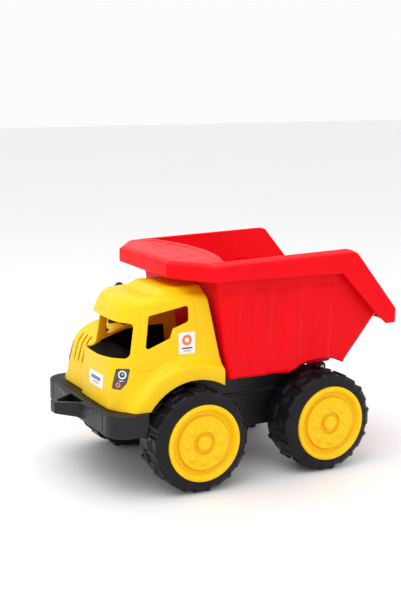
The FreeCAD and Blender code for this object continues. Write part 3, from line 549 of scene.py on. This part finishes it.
def fender(grid, side, inset=0.0):
    """A flared wheel arch: flat outer face, and a sloping band round it."""
    out = grid.x * side
    radial = np.hypot(grid.y - FRONT_AXLE, grid.z - AXLE_HEIGHT)
    band = (radial - FENDER_RADIUS - 7.5 * np.clip((FENDER_FACE - out) / 14.0, 0, 1)) * 0.88
    shape = round_common(out - FENDER_FACE, band, 3.0)
    return np.maximum(shape, 60.0 - out) + inset


def rear_limit(grid, offset=0.0):
    """The cab's leaning rear edge."""
    line = np.interp(grid.z, [80.0, 133.0, 204.0, 212.0], [34.0, 34.0, 19.2, 18.0]).astype(np.float32)
    return (grid.y - FRONT_AXLE - line + offset) * 0.98


def body_outside(grid):
    """The whole yellow body as if it were solid."""
    body = round_union(cab_outside(grid), bonnet_outside(grid), 3.5)
    for side in (-1, 1):
        body = round_union(body, fender(grid, side), 5.0)
    return round_common(body, rear_limit(grid), 1.2)


def body_inside(grid):
    """Its hollow, open at the back of the cab; a wall stands between the cab and the bonnet."""
    cab = cab_outside(grid) + WALL
    bonnet = np.maximum(bonnet_outside(grid) + WALL, rear_limit(grid, WALL))
    bonnet = np.maximum(bonnet, grid.x - CAB_RIGHT)
    inside = np.minimum(cab, bonnet)
    for side in (-1, 1):
        inside = np.minimum(inside, np.maximum(fender(grid, side, WALL), rear_limit(grid, WALL)))
    return inside


def front_arches(grid, shape, radius):
    """The shape without the space of the front wheels, its new edges rounded."""
    wheel = np.hypot(grid.y - FRONT_AXLE, grid.z - AXLE_HEIGHT) - ARCH_RADIUS
    for side in (-1, 1):
        shape = round_cut(shape, np.maximum(wheel, ARCH_INNER - grid.x * side), radius)
    return shape


def side_windows(grid):
    """Both side windows; the right one reaches a little further forward."""
    fore = grid.y - FRONT_AXLE
    right = np.maximum(polygon(fore, grid.z, RIGHT_WINDOW, 3.0), -30.0 - grid.x)
    return np.where(grid.x > 30, polygon(fore, grid.z, SIDE_WINDOW, 3.0), right)


def windscreen(grid):
    """The windscreen, its lower edge rising to the left; on the right it stops at the bonnet."""
    lift = 4.0 * smooth_step(grid.x, 25.0, 78.0) * (VISOR - grid.z) / 38.0
    screen = np.maximum(polygon(grid.y - FRONT_AXLE, grid.z - lift, WINDSCREEN, 3.5), -20.0 - grid.x)
    over_bonnet = np.where(grid.x < CAB_RIGHT + WALL, 0.3 - bonnet_outside(grid), NO_LIMIT)
    return np.maximum(screen, over_bonnet)


def build_cab_shell():
    """The yellow moulding: cab, bonnet and front fenders in one thin wall."""
    grid = node_grid("cab_shell", 0.75)
    fore = grid.y - FRONT_AXLE
    outside = body_outside(grid)
    # a thin moulded line round the door
    line = line_distance(fore, grid.z, DOOR_LINE + DOOR_LINE[:1])
    outside = outside + 0.8 * np.exp(-(line / 0.8) ** 2) * (grid.x > 60)
    shell = round_cut(outside, body_inside(grid), 0.8)
    shell = round_cut(shell, side_windows(grid), 0.9)
    shell = round_cut(shell, windscreen(grid), 0.9)
    # three slots in the bonnet's front, and a small hole in its top
    for x in (-51.0, -40.0, -29.5):
        slot = round_common(slab(grid.x, x - 1.5, x + 1.5), slab(grid.z, 116.0, 145.0), 1.4)
        shell = round_cut(shell, np.maximum(slot, fore + 56.0), 0.7)
    hole = np.maximum(np.hypot(grid.x + 60.0, fore + 46.0) - 1.2, 140.0 - grid.z)
    shell = round_cut(shell, hole, 0.3)
    # wheel arches, room for the chassis deck, and the foot
    shell = front_arches(grid, shell, 0.9)
    deck = np.maximum(np.maximum(grid.z - DECK, np.abs(grid.x) - DECK_HALF), -57.0 - fore)
    shell = np.maximum(shell, -deck)
    shell = np.maximum(shell, BODY_FOOT - grid.z)
    moulded("cab_moulding", shell, grid, "chassis", "cab_shell", YELLOW, 0.75)


# ---------------------------------------------------------------- dump bed
# side views, as distances behind the rear axle and heights: the hopper carried on above its rim, what
# covers it, the rim and canopy, and the space inside them
BED_TAIL = 88.5
RIM_TOP = [(BED_TAIL, 173.0), (33.5, 240.0), (27.0, BED_TOP), (20.0, BED_TOP), (-190.0, 237.2)]
BED_SIDE = [(-113.0, BED_FLOOR), (30.5, BED_FLOOR), (70.0, 162.3), (88.0, 172.5),
            (88.0, 300.0), (-144.9, 300.0)]
BED_COVER = [(-190.0, 80.0), (BED_TAIL, 80.0), *RIM_TOP]
RIM_SIDE = [(-190.0, 219.8), (16.0, 217.0), (64.0, 166.5), (75.5, 156.5), (BED_TAIL, 156.5), *RIM_TOP]
RIM_SPACE = [(-190.0, 200.0), (0.0, 200.0), (60.0, 140.0), (86.1, 140.0), (86.1, 172.1),
             (32.6, 237.4), (26.5, 239.6), (20.0, 239.6), (-190.0, 234.8)]
RIM_PLAN = [(-58.0, -173.5), (58.0, -173.5), (98.0, -144.5), (RIM_HALF, -140.0), (RIM_HALF, 120.0),
            (-RIM_HALF, 120.0), (-RIM_HALF, -140.0), (-98.0, -144.5)]
BED_HALF_FLOOR, BED_SPREAD = 84.0, 0.0595   # half width at the floor, and its growth with height
BED_ARCH, BED_ARCH_INNER = 67.0, 58.0       # radius of the rear wheel arches, and how far in they reach
MOUTH_HALF, MOUTH_BOW = 90.0, 18.5          # half width of the hopper's mouth, and bow of its front edge
CANOPY = -120.0                             # the canopy lies ahead of here
FLUTES = (-20.0, 18.0, 56.0, 94.0)          # middles of the raised ribs on each side
FLUTE_HALF, FLUTE_TOP, FLUTE_DEPTH = 6.0, 199.0, 1.5


def flutes(grid):
    """How far the broad ribs of the hopper's sides stand out, over (y, z)."""
    relief = np.zeros((1, *grid.shape[1:]), np.float32)
    up = np.maximum(grid.z - FLUTE_TOP, 0)
    for middle in FLUTES:
        across = np.maximum(np.abs(grid.y - middle) - FLUTE_HALF, 0)
        relief = np.maximum(relief, 1 - smooth_step(np.hypot(across, up), 2.5, 9.0))
    return FLUTE_DEPTH * relief


def mouth_plan(grid):
    """Plan of the hopper's mouth: straight sides, and a front edge that bows towards the rear."""
    radius = (MOUTH_HALF ** 2 + MOUTH_BOW ** 2) / (2 * MOUTH_BOW)
    centre = REAR_AXLE - 105.0 - radius
    return np.maximum(np.abs(grid.x) - MOUTH_HALF, radius - np.hypot(grid.x, grid.y - centre))


def bed_rim(grid, cavity):
    """Rim and canopy in one, hollow below, with a bevelled upper edge and the hopper's mouth in it."""
    behind, out = grid.y - REAR_AXLE, np.abs(grid.x)
    plan = polygon(grid.x, behind, RIM_PLAN, 2.0)
    rim = round_common(plan, polygon(behind, grid.z, RIM_SIDE, 1.5), 2.4)
    top = np.interp(behind, [-176.0, 22.0, 90.0], [237.5, BED_TOP, BED_TOP]).astype(np.float32)
    bevel = (grid.z - top + 0.33 * (out - 91.0)) * 0.95
    rim = round_common(rim, bevel, 2.5)
    nose_bevel = (grid.z - top + 0.5 * (plan + 6.0)) * 0.9
    rim = round_common(rim, np.where(behind < CANOPY, nose_bevel, NO_LIMIT), 1.5)
    # the canopy's top is sunk a little inside a border along the mouth and the outer edge
    mouth = mouth_plan(grid)
    sunk = smooth_step(mouth, 8.0, 9.2)
    rim = rim + 0.8 * sunk * (behind < -95) * (plan < -9) * (grid.z > 230)
    under = np.maximum(np.maximum(plan, bevel) + BED_WALL, polygon(behind, grid.z, RIM_SPACE))
    under = np.maximum(under, np.where(behind < CANOPY, nose_bevel + BED_WALL, NO_LIMIT))
    lid = round_cut(rim, under, 0.7)
    return round_cut(lid, np.maximum(cavity, mouth), 1.2)


def build_dump_bed():
    """The red moulding: hopper, rim, canopy, rear arches and hinge lugs."""
    grid = node_grid("dump_bed", 0.95)
    behind, out = grid.y - REAR_AXLE, np.abs(grid.x)
    side = (out - BED_HALF_FLOOR - BED_SPREAD * (grid.z - BED_FLOOR)) - flutes(grid)
    tub = round_common(polygon(behind, grid.z, BED_SIDE, 3.0), side, 5.0)
    tub = np.maximum(tub, polygon(behind, grid.z, BED_COVER) + 1.0)
    cavity = round_common(polygon(behind, grid.z, BED_SIDE) + BED_WALL, side + BED_WALL, 4.0)
    bed = round_union(bed_rim(grid, cavity), round_cut(tub, cavity, 0.7), 1.5)
    # arches over the rear wheels, lined so that the hopper stays closed
    wheel = np.hypot(behind, grid.z - AXLE_HEIGHT)
    lining = round_common(wheel - BED_ARCH - BED_WALL, BED_ARCH_INNER - BED_WALL - out, 2.0)
    bed = round_union(bed, np.maximum(lining, tub), 2.0)
    bed = round_cut(bed, np.maximum(wheel - BED_ARCH, BED_ARCH_INNER - out), 1.0)
    # lugs under the floor, on the hinge pin
    eye = np.hypot(grid.y - HINGE_Y, grid.z - HINGE_Z)
    stem = np.maximum(np.abs(grid.y - HINGE_Y) - 6.0, slab(grid.z, HINGE_Z, BED_FLOOR + 1))
    lug = round_common(np.minimum(eye - 6.0, stem), slab(out, 33.0, 43.0), 0.8)
    bed = round_union(bed, lug, 1.5)
    bed = round_cut(bed, np.maximum(eye - 2.6, out - 50.0), 0.3)
    moulded("dump_bed_moulding", bed, grid, "bed", "dump_bed", RED, 0.5)


# ---------------------------------------------------------------- wheels
# profiles, as distances along the axle and away from it
TYRE_RADIUS = 55.2
LUG_COUNT, LUG_SPAN = 12, 15.5
LUG_TOP = math.sqrt(TYRE_RADIUS ** 2 - LUG_SPAN ** 2 / 4)
PLATE_TOP = 53.7                    # low plates between the tall bars
BAR_LOW, BAR_HIGH = -9.6, -5.0      # the two sides of a tall bar, across its sector
TYRE_PROFILE = [(78.5, 3.1), (98.5, 3.1), (98.5, 41.0), (109.5, 41.0), (109.5, 44.0), (107.9, 48.0),
                (105.0, 52.2), (63.5, 52.2), (61.5, 50.2), (61.5, 42.0), (64.1, 42.0), (64.1, 49.0),
                (102.5, 49.0), (102.5, 43.6), (95.5, 43.6), (95.5, 8.0), (78.5, 8.0)]
SHOULDER_BAR = [(84.5, 50.0), (84.5, LUG_TOP), (104.8, LUG_TOP),
                (107.8, 50.2), (109.4, 46.0), (107.0, 44.0)]
SHOULDER_PLATE = [(88.0, 50.0), (88.0, PLATE_TOP), (104.4, PLATE_TOP),
                  (106.9, 50.4), (108.8, 46.4), (106.0, 44.0)]
INNER_LUG = [(64.0, 50.0), (64.0, LUG_TOP), (81.0, LUG_TOP), (81.0, 50.0)]
HUB_PROFILE = [(100.5, 41.0), (111.2, 41.0), (HUB_FACE, 40.0), (HUB_FACE, 36.6), (106.6, 33.4),
               (106.6, 30.0), (109.6, 28.4), (109.6, 12.6), (107.0, 11.6), (107.0, 8.2), (110.6, 7.6),
               (HUB_FACE, 5.2), (HUB_FACE, -9.0), (110.0, -9.0), (110.0, 4.6), (105.0, 5.8),
               (105.0, 13.4), (107.6, 14.2), (107.6, 27.4), (104.6, 29.0), (104.6, 34.4),
               (109.8, 37.8), (109.8, 39.0), (100.5, 39.0)]
BOLT_COUNT, BOLT_CIRCLE, BOLT_RADIUS = 8, 19.5, 3.7


def folded(grid, count, turn):
    """Coordinates across and up the nearest of count equal sectors, and the distance from the axle."""
    pitch = 2 * math.pi / count
    angle = np.arctan2(grid.y, grid.z) - turn
    angle = angle - pitch * np.round(angle / pitch)
    radial = np.hypot(grid.y, grid.z)
    return radial * np.sin(angle), radial * np.cos(angle), radial


def tyre_mesh():
    """A left tyre round its own axle, hollow from the inner side."""
    grid = Grid((61.0, -55.6, -55.6), (110.0, 55.6, 55.6), 0.7)
    across, up, radial = folded(grid, LUG_COUNT, 0.0)
    tyre = polygon(grid.x, radial, TYRE_PROFILE, 0.9)
    # outer half: low framed plates, each with a tall bar along one edge that hooks round its inner end
    plate = round_common(polygon(grid.x, up, SHOULDER_PLATE, 1.0), np.abs(across) - 9.6, 1.2)
    panel = round_common(np.abs(across - 1.6) - 5.2, slab(grid.x, 92.6, 103.0), 1.5)
    plate = round_cut(plate, np.maximum(panel, PLATE_TOP - 1.2 - up), 0.5)
    bar = round_common(polygon(grid.x, up, SHOULDER_BAR, 1.2), slab(across, BAR_LOW, BAR_HIGH), 1.4)
    hook = round_common(slab(across, BAR_LOW, 3.0), slab(grid.x, 84.5, 89.5), 1.2)
    bar = np.minimum(bar, round_common(hook, slab(up, 48.0, LUG_TOP), 1.2))
    tyre = round_union(tyre, round_union(plate, bar, 0.8), 1.0)
    # inner half: the same bars, half a pitch on
    across, up, _ = folded(grid, LUG_COUNT, math.pi / LUG_COUNT)
    inner = round_common(polygon(grid.x, up, INNER_LUG, 1.0), slab(across, -9.0, -3.5), 1.2)
    foot_space = np.maximum(slab(grid.x, 75.5, 81.0), slab(up, 48.0, LUG_TOP))
    foot = round_common(slab(across, -9.0, 6.0), foot_space, 1.2)
    tyre = round_union(tyre, np.minimum(inner, foot), 1.0)
    tyre = np.maximum(tyre, radial - 54.9)
    return surface(tyre, grid)


def hub_mesh():
    """A left hub disc: raised rim, domed middle and a ring of dummy bolts."""
    grid = Grid((100.0, -41.2, -41.2), (112.2, 41.2, 41.2), 0.45)
    across, up, radial = folded(grid, BOLT_COUNT, 0.0)
    hub = polygon(grid.x, radial, HUB_PROFILE, 0.55)
    bolt = np.hypot(across, up - BOLT_CIRCLE) - BOLT_RADIUS
    bolt = round_common(bolt, slab(grid.x, 108.0, 111.0), 1.3)
    return surface(round_union(hub, bolt, 0.8), grid)


def place_wheels():
    """The same tyre and hub mouldings at all four corners, turned about to face outwards."""
    for kind, builder, slot, material in (("tyre", tyre_mesh, "tyre_plastic", TYRE),
                                          ("hub", hub_mesh, "yellow_plastic", YELLOW)):
        mesh = thinned(make_mesh(kind, *builder()), 0.45)
        mesh.materials.append(material)
        for corner in ("front_left", "front_right", "rear_left", "rear_right"):
            wheel = bpy.data.objects.new(f"{kind}_{corner}_moulding", mesh)
            wheel.location = (0, joint_point(f"{corner}_wheel_spin")[1] * MM, AXLE_HEIGHT * MM)
            wheel.rotation_euler.z = 0.0 if corner.endswith("left") else math.pi
            bpy.context.scene.collection.objects.link(wheel)
            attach(wheel, f"wheel_{corner}")
            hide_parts(f"{kind}_{corner}")


# ---------------------------------------------------------------- bumper and chassis
def body_plan_at_foot(grid):
    """Distance in plan from the yellow body's foot."""
    level = grid.level(BODY_FOOT)
    return np.minimum(plan_body(level, CAB_PLAN), plan_body(level, BONNET_PLAN))[:, :, :1]


def tow_loop(grid):
    """Two arms that meet in a blunt nose, with gussets to the bumper's top."""
    root = BUMPER_FRONT + 1.5
    arms = polygon(grid.x, grid.y, [(-6, NOSE_TIP), (6, NOSE_TIP), (22.5, root), (-22.5, root)], 1.5)
    tip, back = NOSE_TIP + 6, BUMPER_FRONT + 9
    eye = polygon(grid.x, grid.y, [(-2.4, tip), (2.4, tip), (18.6, root), (18.6, back),
                                   (-18.6, back), (-18.6, root)], 1.0)
    under = np.interp(grid.y, [NOSE_TIP, BUMPER_FRONT], [75.5, 71.0]).astype(np.float32)
    loop = round_common(np.maximum(arms, -eye), np.maximum(grid.z - 88.0, under - grid.z), 0.9)
    out, ahead = np.abs(grid.x), BUMPER_FRONT - grid.y
    spread = np.interp(grid.z, [71.0, 88.0], [20.5, 50.0]).astype(np.float32)
    gusset = np.maximum(20.0 - out, (out - spread + ahead * (spread - 20.5) / 4.4) * 0.45)
    gusset = np.maximum(gusset, np.maximum(slab(grid.z, 71.5, 88.0), slab(ahead, -1.0, 4.2)))
    return np.minimum(loop, gusset)


def build_bumper():
    """The hollow black bumper, with a ribbed top, a pocket and the tow loop."""
    grid = node_grid("front_bumper", 0.65)
    out = np.abs(grid.x)
    plan = round_common(out - BUMPER_HALF, BUMPER_FRONT - grid.y, 22.0)
    body = round_common(plan, slab(grid.z, BUMPER_LOW, BUMPER_TOP), 1.4)
    # a vertical seam near each end
    seam = np.maximum(np.abs(out - 68.0) - 0.45, -0.7 - plan)
    body = round_cut(body, np.maximum(seam, 70.0 - grid.z), 0.2)
    # tread plate: short slanting ribs between the edge and the cab
    pitch = 4.2
    slant = np.abs((grid.x + 0.8 * grid.y) / pitch % 1 - 0.5) * pitch / 1.28 - 0.7
    pad = np.maximum(slab(plan, -14.0, -2.2), slab(grid.z, 89.0, 90.7))
    gap = np.maximum(1.0 - body_plan_at_foot(grid), slab(out, -1.0, 94.0))
    body = round_union(body, round_common(np.maximum(slant, gap), pad, 0.4), 0.3)
    body = round_cut(body, np.maximum(plan + PLASTIC, grid.z - BUMPER_TOP + PLASTIC), 0.6)
    # the dark pocket behind the tow loop
    pocket = block(grid, (-23, BUMPER_FRONT - 5, 71.0), (23, BUMPER_FRONT + 9, 87.0), 1.5)
    liner = block(grid, (-25.5, BUMPER_FRONT + 1, 68.5), (25.5, BUMPER_FRONT + 11.5, 89.5), 1.0)
    body = round_cut(np.minimum(body, liner), pocket, 0.8)
    body = round_union(body, tow_loop(grid), 0.8)
    # clear the tyres and the chassis tray
    well = np.hypot(grid.y - FRONT_AXLE, grid.z - AXLE_HEIGHT) - ARCH_RADIUS + PLASTIC
    body = round_cut(body, np.maximum(well, 57.5 - out), 0.6)
    body = np.maximum(body, -np.maximum(out - DECK_HALF, FRONT_AXLE - 57.3 - grid.y))
    body = np.maximum(body, grid.y - FRONT_AXLE + 56.0)
    moulded("bumper_moulding", body, grid, "chassis", "front_bumper", BLACK, 0.5)


def build_chassis():
    """The black tray between the wheels, open below."""
    grid = node_grid("chassis_frame", 0.9)
    out, half, low = np.abs(grid.x), 56.0, 47.0
    fore = grid.y - FRONT_AXLE
    front, rear = -57.0, HINGE_Y + 6.4 - FRONT_AXLE
    saddle, ear_top = HINGE_Z - 12, HINGE_Z + 6.4      # the slot for the bed's lugs, and the hinge ears
    slot_front = HINGE_Y - 18
    outline = [(front, BUMPER_LOW), (front + 25, low), (rear - 4, low), (rear, low + 6),
               (rear, ear_top), (rear - 7.4, ear_top), (rear - 14.4, DECK), (-36, DECK),
               (front, BUMPER_TOP)]
    inside = [(front + PLASTIC, low - 9), (rear - PLASTIC, low - 9), (rear - PLASTIC, saddle),
              (slot_front - FRONT_AXLE, saddle), (slot_front - FRONT_AXLE, DECK - PLASTIC),
              (-36, DECK - PLASTIC), (front + PLASTIC, BUMPER_TOP - PLASTIC)]
    tray = round_common(polygon(fore, grid.z, outline, 2.0), out - half, 1.6)
    ear = np.hypot(grid.y - HINGE_Y, grid.z - HINGE_Z) - 6.3
    tray = np.maximum(tray, np.where((grid.y > HINGE_Y) & (grid.z > HINGE_Z), ear, NO_LIMIT))
    tray = round_cut(tray, np.maximum(polygon(fore, grid.z, inside), out - half + PLASTIC), 0.5)
    slot = np.maximum(np.maximum(out - half + PLASTIC, slot_front - grid.y), saddle - grid.z)
    tray = round_cut(tray, slot, 0.5)
    # a level rib along each side, bosses round the axles, and pads that the bed rests on
    rib = np.maximum(slab(out, half - 1, half + 1.6), slab(grid.z, 84, 87))
    tray = round_union(tray, round_common(rib, slab(grid.y, FRONT_AXLE + 8, REAR_AXLE - 12), 0.6), 0.8)
    for axle in (FRONT_AXLE, REAR_AXLE):
        radial = np.hypot(grid.y - axle, grid.z - AXLE_HEIGHT)
        boss = round_common(radial - 9.0, slab(out, half - 14, half + 2.4), 0.8)
        tray = np.maximum(round_union(tray, boss, 0.8), 3.05 - radial)
    pad = np.maximum(slab(out, 30, 44), slab(grid.y, REAR_AXLE - 106, REAR_AXLE - 94))
    tray = round_union(tray, round_common(pad, slab(grid.z, DECK - 1, BED_FLOOR - 0.3), 0.6), 0.6)
    tray = np.maximum(tray, 2.55 - np.hypot(grid.y - HINGE_Y, grid.z - HINGE_Z))
    moulded("chassis_moulding", tray, grid, "chassis", "chassis_frame", BLACK, 0.4)


# ---------------------------------------------------------------- cab interior and exhaust
def build_interior():
    """The dark insert: dash and seat in one sheet, and a tall panel on the cab's right wall."""
    grid = node_grid("cab_interior", 0.8)
    fore = grid.y - FRONT_AXLE
    floor = DECK + 0.1
    profile = [(-50.0, floor), (-72.0, 118.0), (-80.5, 128.0), (-79.5, 138.0), (-62.0, 144.0),
               (-52.0, 144.0), (-44.0, 124.0), (-16.0, 122.0), (-6.0, 126.0), (1.0, 141.0),
               (9.0, 142.0), (14.0, floor)]
    panel = [(-74.0, 128.0), (-72.0, 136.0), (-61.0, 146.0), (-32.0, 155.0), (12.0, BONNET_TOP),
             (14.0, floor), (-50.0, floor)]
    low, high = CAB_RIGHT + 2.6, 76.5
    seat_side = polygon(fore, grid.z, profile, 2.5)
    seat = round_common(seat_side, slab(grid.x, low, high), 2.0)
    seat = round_cut(seat, np.maximum(seat_side + 2.2, slab(grid.x, low + 2.2, high - 2.2)), 0.4)
    wall = round_common(polygon(fore, grid.z, panel, 3.0), slab(grid.x, low, low + 2.2), 0.8)
    seat = np.minimum(seat, wall)
    seat = round_common(seat, cab_outside(grid) + WALL + 0.5, 0.8)
    seat = front_arches(grid, seat, 0.5)
    moulded("interior_moulding", seat, grid, "chassis", "cab_interior", INTERIOR,
            0.4)


def build_exhaust():
    """A leaning pipe with a domed end, on a vented block."""
    grid = node_grid("exhaust_stack", 0.6)
    fore = grid.y - FRONT_AXLE
    lean, radius, length = math.radians(13.0), 4.95, 46.0
    foot = Vector((-40.0, -36.0 - 6 * math.sin(lean), BONNET_TOP - 6 * math.cos(lean)))
    along = (fore - foot.y) * math.sin(lean) + (grid.z - foot.z) * math.cos(lean)
    aside = (fore - foot.y) * math.cos(lean) - (grid.z - foot.z) * math.sin(lean)
    past = along - np.clip(along, 0, length)
    pipe = np.sqrt((grid.x - foot.x) ** 2 + aside ** 2 + past ** 2) - radius
    collar = round_common(np.hypot(grid.x - foot.x, aside) - radius, slab(along, 38.0, 41.0), 0.5)
    pipe = np.minimum(pipe, collar) + 0.35 * np.exp(-((along - 37.0) / 0.8) ** 2)
    housing = round_common(polygon(fore, grid.z, [(-32, 150), (-27, 184), (10, 184), (16.5, 150)], 2.0),
                           slab(grid.x, -54, -20), 2.0)
    for y in (-18.0, -8.0, 2.0):
        vent = np.maximum(slab(fore, y - 1, y + 1), slab(grid.x, -48, -26))
        housing = round_cut(housing, np.maximum(vent, 182.8 - grid.z), 0.3)
    stack = np.maximum(round_union(pipe, housing, 2.0), BONNET_TOP - grid.z)
    moulded("exhaust_moulding", stack, grid, "chassis", "exhaust_stack", BLACK, 0.5)


# ---------------------------------------------------------------- stickers
STICKER = 0.28                     # how far the stickers stand out of the body


def sticker(name, node, outline, centre, along, up, layers, ground):
    """A thin printed sheet on the body; outline holds (u, v) corners, along and up from its centre."""
    grid = node_grid(node, 0.32, margin=2.5)
    u = sum(a * (c - m) for a, c, m in zip(along, (grid.x, grid.y, grid.z), centre))
    v = sum(a * (c - m) for a, c, m in zip(up, (grid.x, grid.y, grid.z), centre))
    skin = body_outside(grid)
    sheet = np.maximum(skin - STICKER, -0.8 - skin)
    sheet = round_common(sheet, polygon(u, v, outline, 1.6), 0.15)
    material = printed(name, ground, along, up, centre, layers)
    moulded(name + "_sheet", sheet, grid, "chassis", node, material, 0.6)


INK_WHITE, INK_DARK, INK_ORANGE = (0.86, 0.86, 0.85), (0.03, 0.03, 0.035), (0.86, 0.17, 0.02)
INK_BLUE, INK_GREY, PLATE = (0.03, 0.10, 0.42), (0.35, 0.36, 0.38), (0.055, 0.055, 0.055)


def rectangle(half_width, half_height):
    """Corners of a rectangle round its middle."""
    return [(-half_width, -half_height), (half_width, -half_height),
            (half_width, half_height), (-half_width, half_height)]


def build_headlights():
    """A plate with a white ring lamp and a small orange one, mirrored on the right."""
    plate = [(-9.5, -10.5), (1.0, -11.0), (7.0, -4.0), (9.5, 10.0), (8.0, 11.0), (-3.5, 10.5),
             (-5.5, 9.0)]
    layers = [
        (INK_WHITE, (2.0, 4.5), (4.3, 4.3), 2.0), (INK_DARK, (2.0, 4.5), (3.0, 3.0), 2.0),
        (INK_GREY, (2.4, 4.9), (1.3, 1.3), 2.0), (INK_WHITE, (1.2, -1.8), (2.6, 0.4), 2.0),
        (INK_ORANGE, (-1.8, -6.0), (2.6, 2.6), 2.0), (INK_DARK, (-1.8, -6.0), (1.0, 1.0), 2.0)]
    lean = 1 / math.hypot(1.0, 1.15)
    for side, hand in ((1, "left"), (-1, "right")):
        across = (1.15 * lean, side * lean, 0.0)
        outline = [(u * side, v) for u, v in plate]
        mirrored = [(ink, (u * side, v), half, power) for ink, (u, v), half, power in layers]
        sticker(f"headlight_{hand}", f"headlight_decal_{hand}", outline,
                (side * 74.5, FRONT_AXLE - 79.0, 124.0), across, (0, 0, 1),
                mirrored, PLATE)


def build_badge():
    """A white plate with one broad bar and one narrow bar."""
    layers = [(INK_BLUE, (0, 1.6), (12.0, 1.9), 8.0), (INK_ORANGE, (0, -3.0), (8.0, 0.9), 8.0)]
    sticker("badge", "front_badge_decal", rectangle(17.0, 7.5), (32.0, 0.0, 115.5),
            (1, 0, 0), (0, 0, 1), layers, INK_WHITE)


def build_side_sticker():
    """A white plate with a ring over two bars."""
    layers = [(INK_ORANGE, (0, 3.2), (5.6, 5.6), 2.0), (INK_WHITE, (0, 3.2), (2.4, 2.4), 2.0),
              (INK_DARK, (0, -5.2), (6.0, 0.8), 8.0), (INK_GREY, (0, -8.0), (4.4, 0.6), 8.0)]
    sticker("side", "side_decal_left", rectangle(9.5, 11.4), (79.0, FRONT_AXLE - 5.3, 155.0),
            (0, 1, 0), (0, 0, 1), layers, INK_WHITE)


# ---------------------------------------------------------------- stage, light and camera
def build_stage():
    """A plain pale floor."""
    floor = bpy.data.objects.new("floor", bpy.data.meshes.new("floor"))
    corners = [(x, y, 0) for x, y in rectangle(6.0, 6.0)]
    floor.data.from_pydata(corners, [], [(0, 1, 2, 3)])
    nodes = Nodes("pale_floor")
    nodes.link(nodes.mix(nodes.noise(400), (0.90, 0.90, 0.90), (0.88, 0.88, 0.885)), "Base Color")
    nodes.set(Roughness=0.55)
    floor.data.materials.append(nodes.material)
    bpy.context.scene.collection.objects.link(floor)


def direction(azimuth, elevation):
    """Unit vector from the truck towards a place seen at these angles; azimuth 0 is in front of it."""
    level = math.cos(elevation)
    return Vector((math.sin(azimuth) * level, -math.cos(azimuth) * level, math.sin(elevation)))


def soft_light(name, azimuth, elevation, distance, size, power):
    """A square soft box aimed at the truck; azimuth 90 stands on its left."""
    lamp = bpy.data.lights.new(name, "AREA")
    lamp.size = size
    lamp.energy = power
    away = direction(math.radians(azimuth), math.radians(elevation))
    item = bpy.data.objects.new(name, lamp)
    item.location = Vector((0, 0, 0.12)) + away * distance
    item.rotation_euler = (-away).to_track_quat("-Z", "Y").to_euler()
    bpy.context.scene.collection.objects.link(item)


def build_light():
    """White surroundings, with two soft boxes over the truck's front left."""
    world = bpy.data.worlds.new("studio")
    world.use_nodes = True
    background = world.node_tree.nodes["Background"]
    background.inputs["Color"].default_value = (1.0, 1.0, 1.0, 1.0)
    background.inputs["Strength"].default_value = 0.97
    bpy.context.scene.world = world
    bpy.context.scene.view_settings.view_transform = "Standard"
    soft_light("key", 30.0, 60.0, 1.6, 1.2, 8.0)
    soft_light("top", 60.0, 84.0, 1.6, 1.6, 7.0)


def build_camera():
    """A long lens off the truck's front left, looking slightly down, with a small shift and roll."""
    azimuth, elevation, roll = math.radians(61.592), math.radians(13.342), math.radians(0.448)
    back = direction(azimuth, elevation)
    camera = bpy.data.objects.new("camera", bpy.data.cameras.new("camera"))
    camera.data.sensor_width = 36.0
    camera.data.lens = 72.11
    camera.data.shift_x = -0.0071
    camera.data.shift_y = 0.0674
    camera.data.clip_start = 0.01
    camera.location = (1.1457, -0.62136, 0.44245)
    turn = (-back).to_track_quat("-Z", "Y").to_matrix() @ Matrix.Rotation(roll, 3, "Z")
    camera.rotation_euler = turn.to_euler()
    bpy.context.scene.collection.objects.link(camera)
    bpy.context.scene.camera = camera


CARRIED_OVER = {"yellow_plastic": YELLOW, "red_plastic": RED, "black_plastic": BLACK,
                "tyre_plastic": TYRE, "interior_plastic": INTERIOR, "steel": STEEL}


def dress_carried_over():
    """The CAD nodes take the material of their slot; those that stay in view are the steel parts."""
    for subpart in frame["record"]["subparts"]:
        material = CARRIED_OVER.get(subpart["material_slot"])
        if material:
            slots = frame["nodes"][subpart["node"]].data.materials
            slots.clear()
            slots.append(material)


build_cab_shell()
build_dump_bed()
place_wheels()
build_bumper()
build_chassis()
build_interior()
build_exhaust()
build_headlights()
build_badge()
build_side_sticker()
dress_carried_over()
build_stage()
build_light()
build_camera()
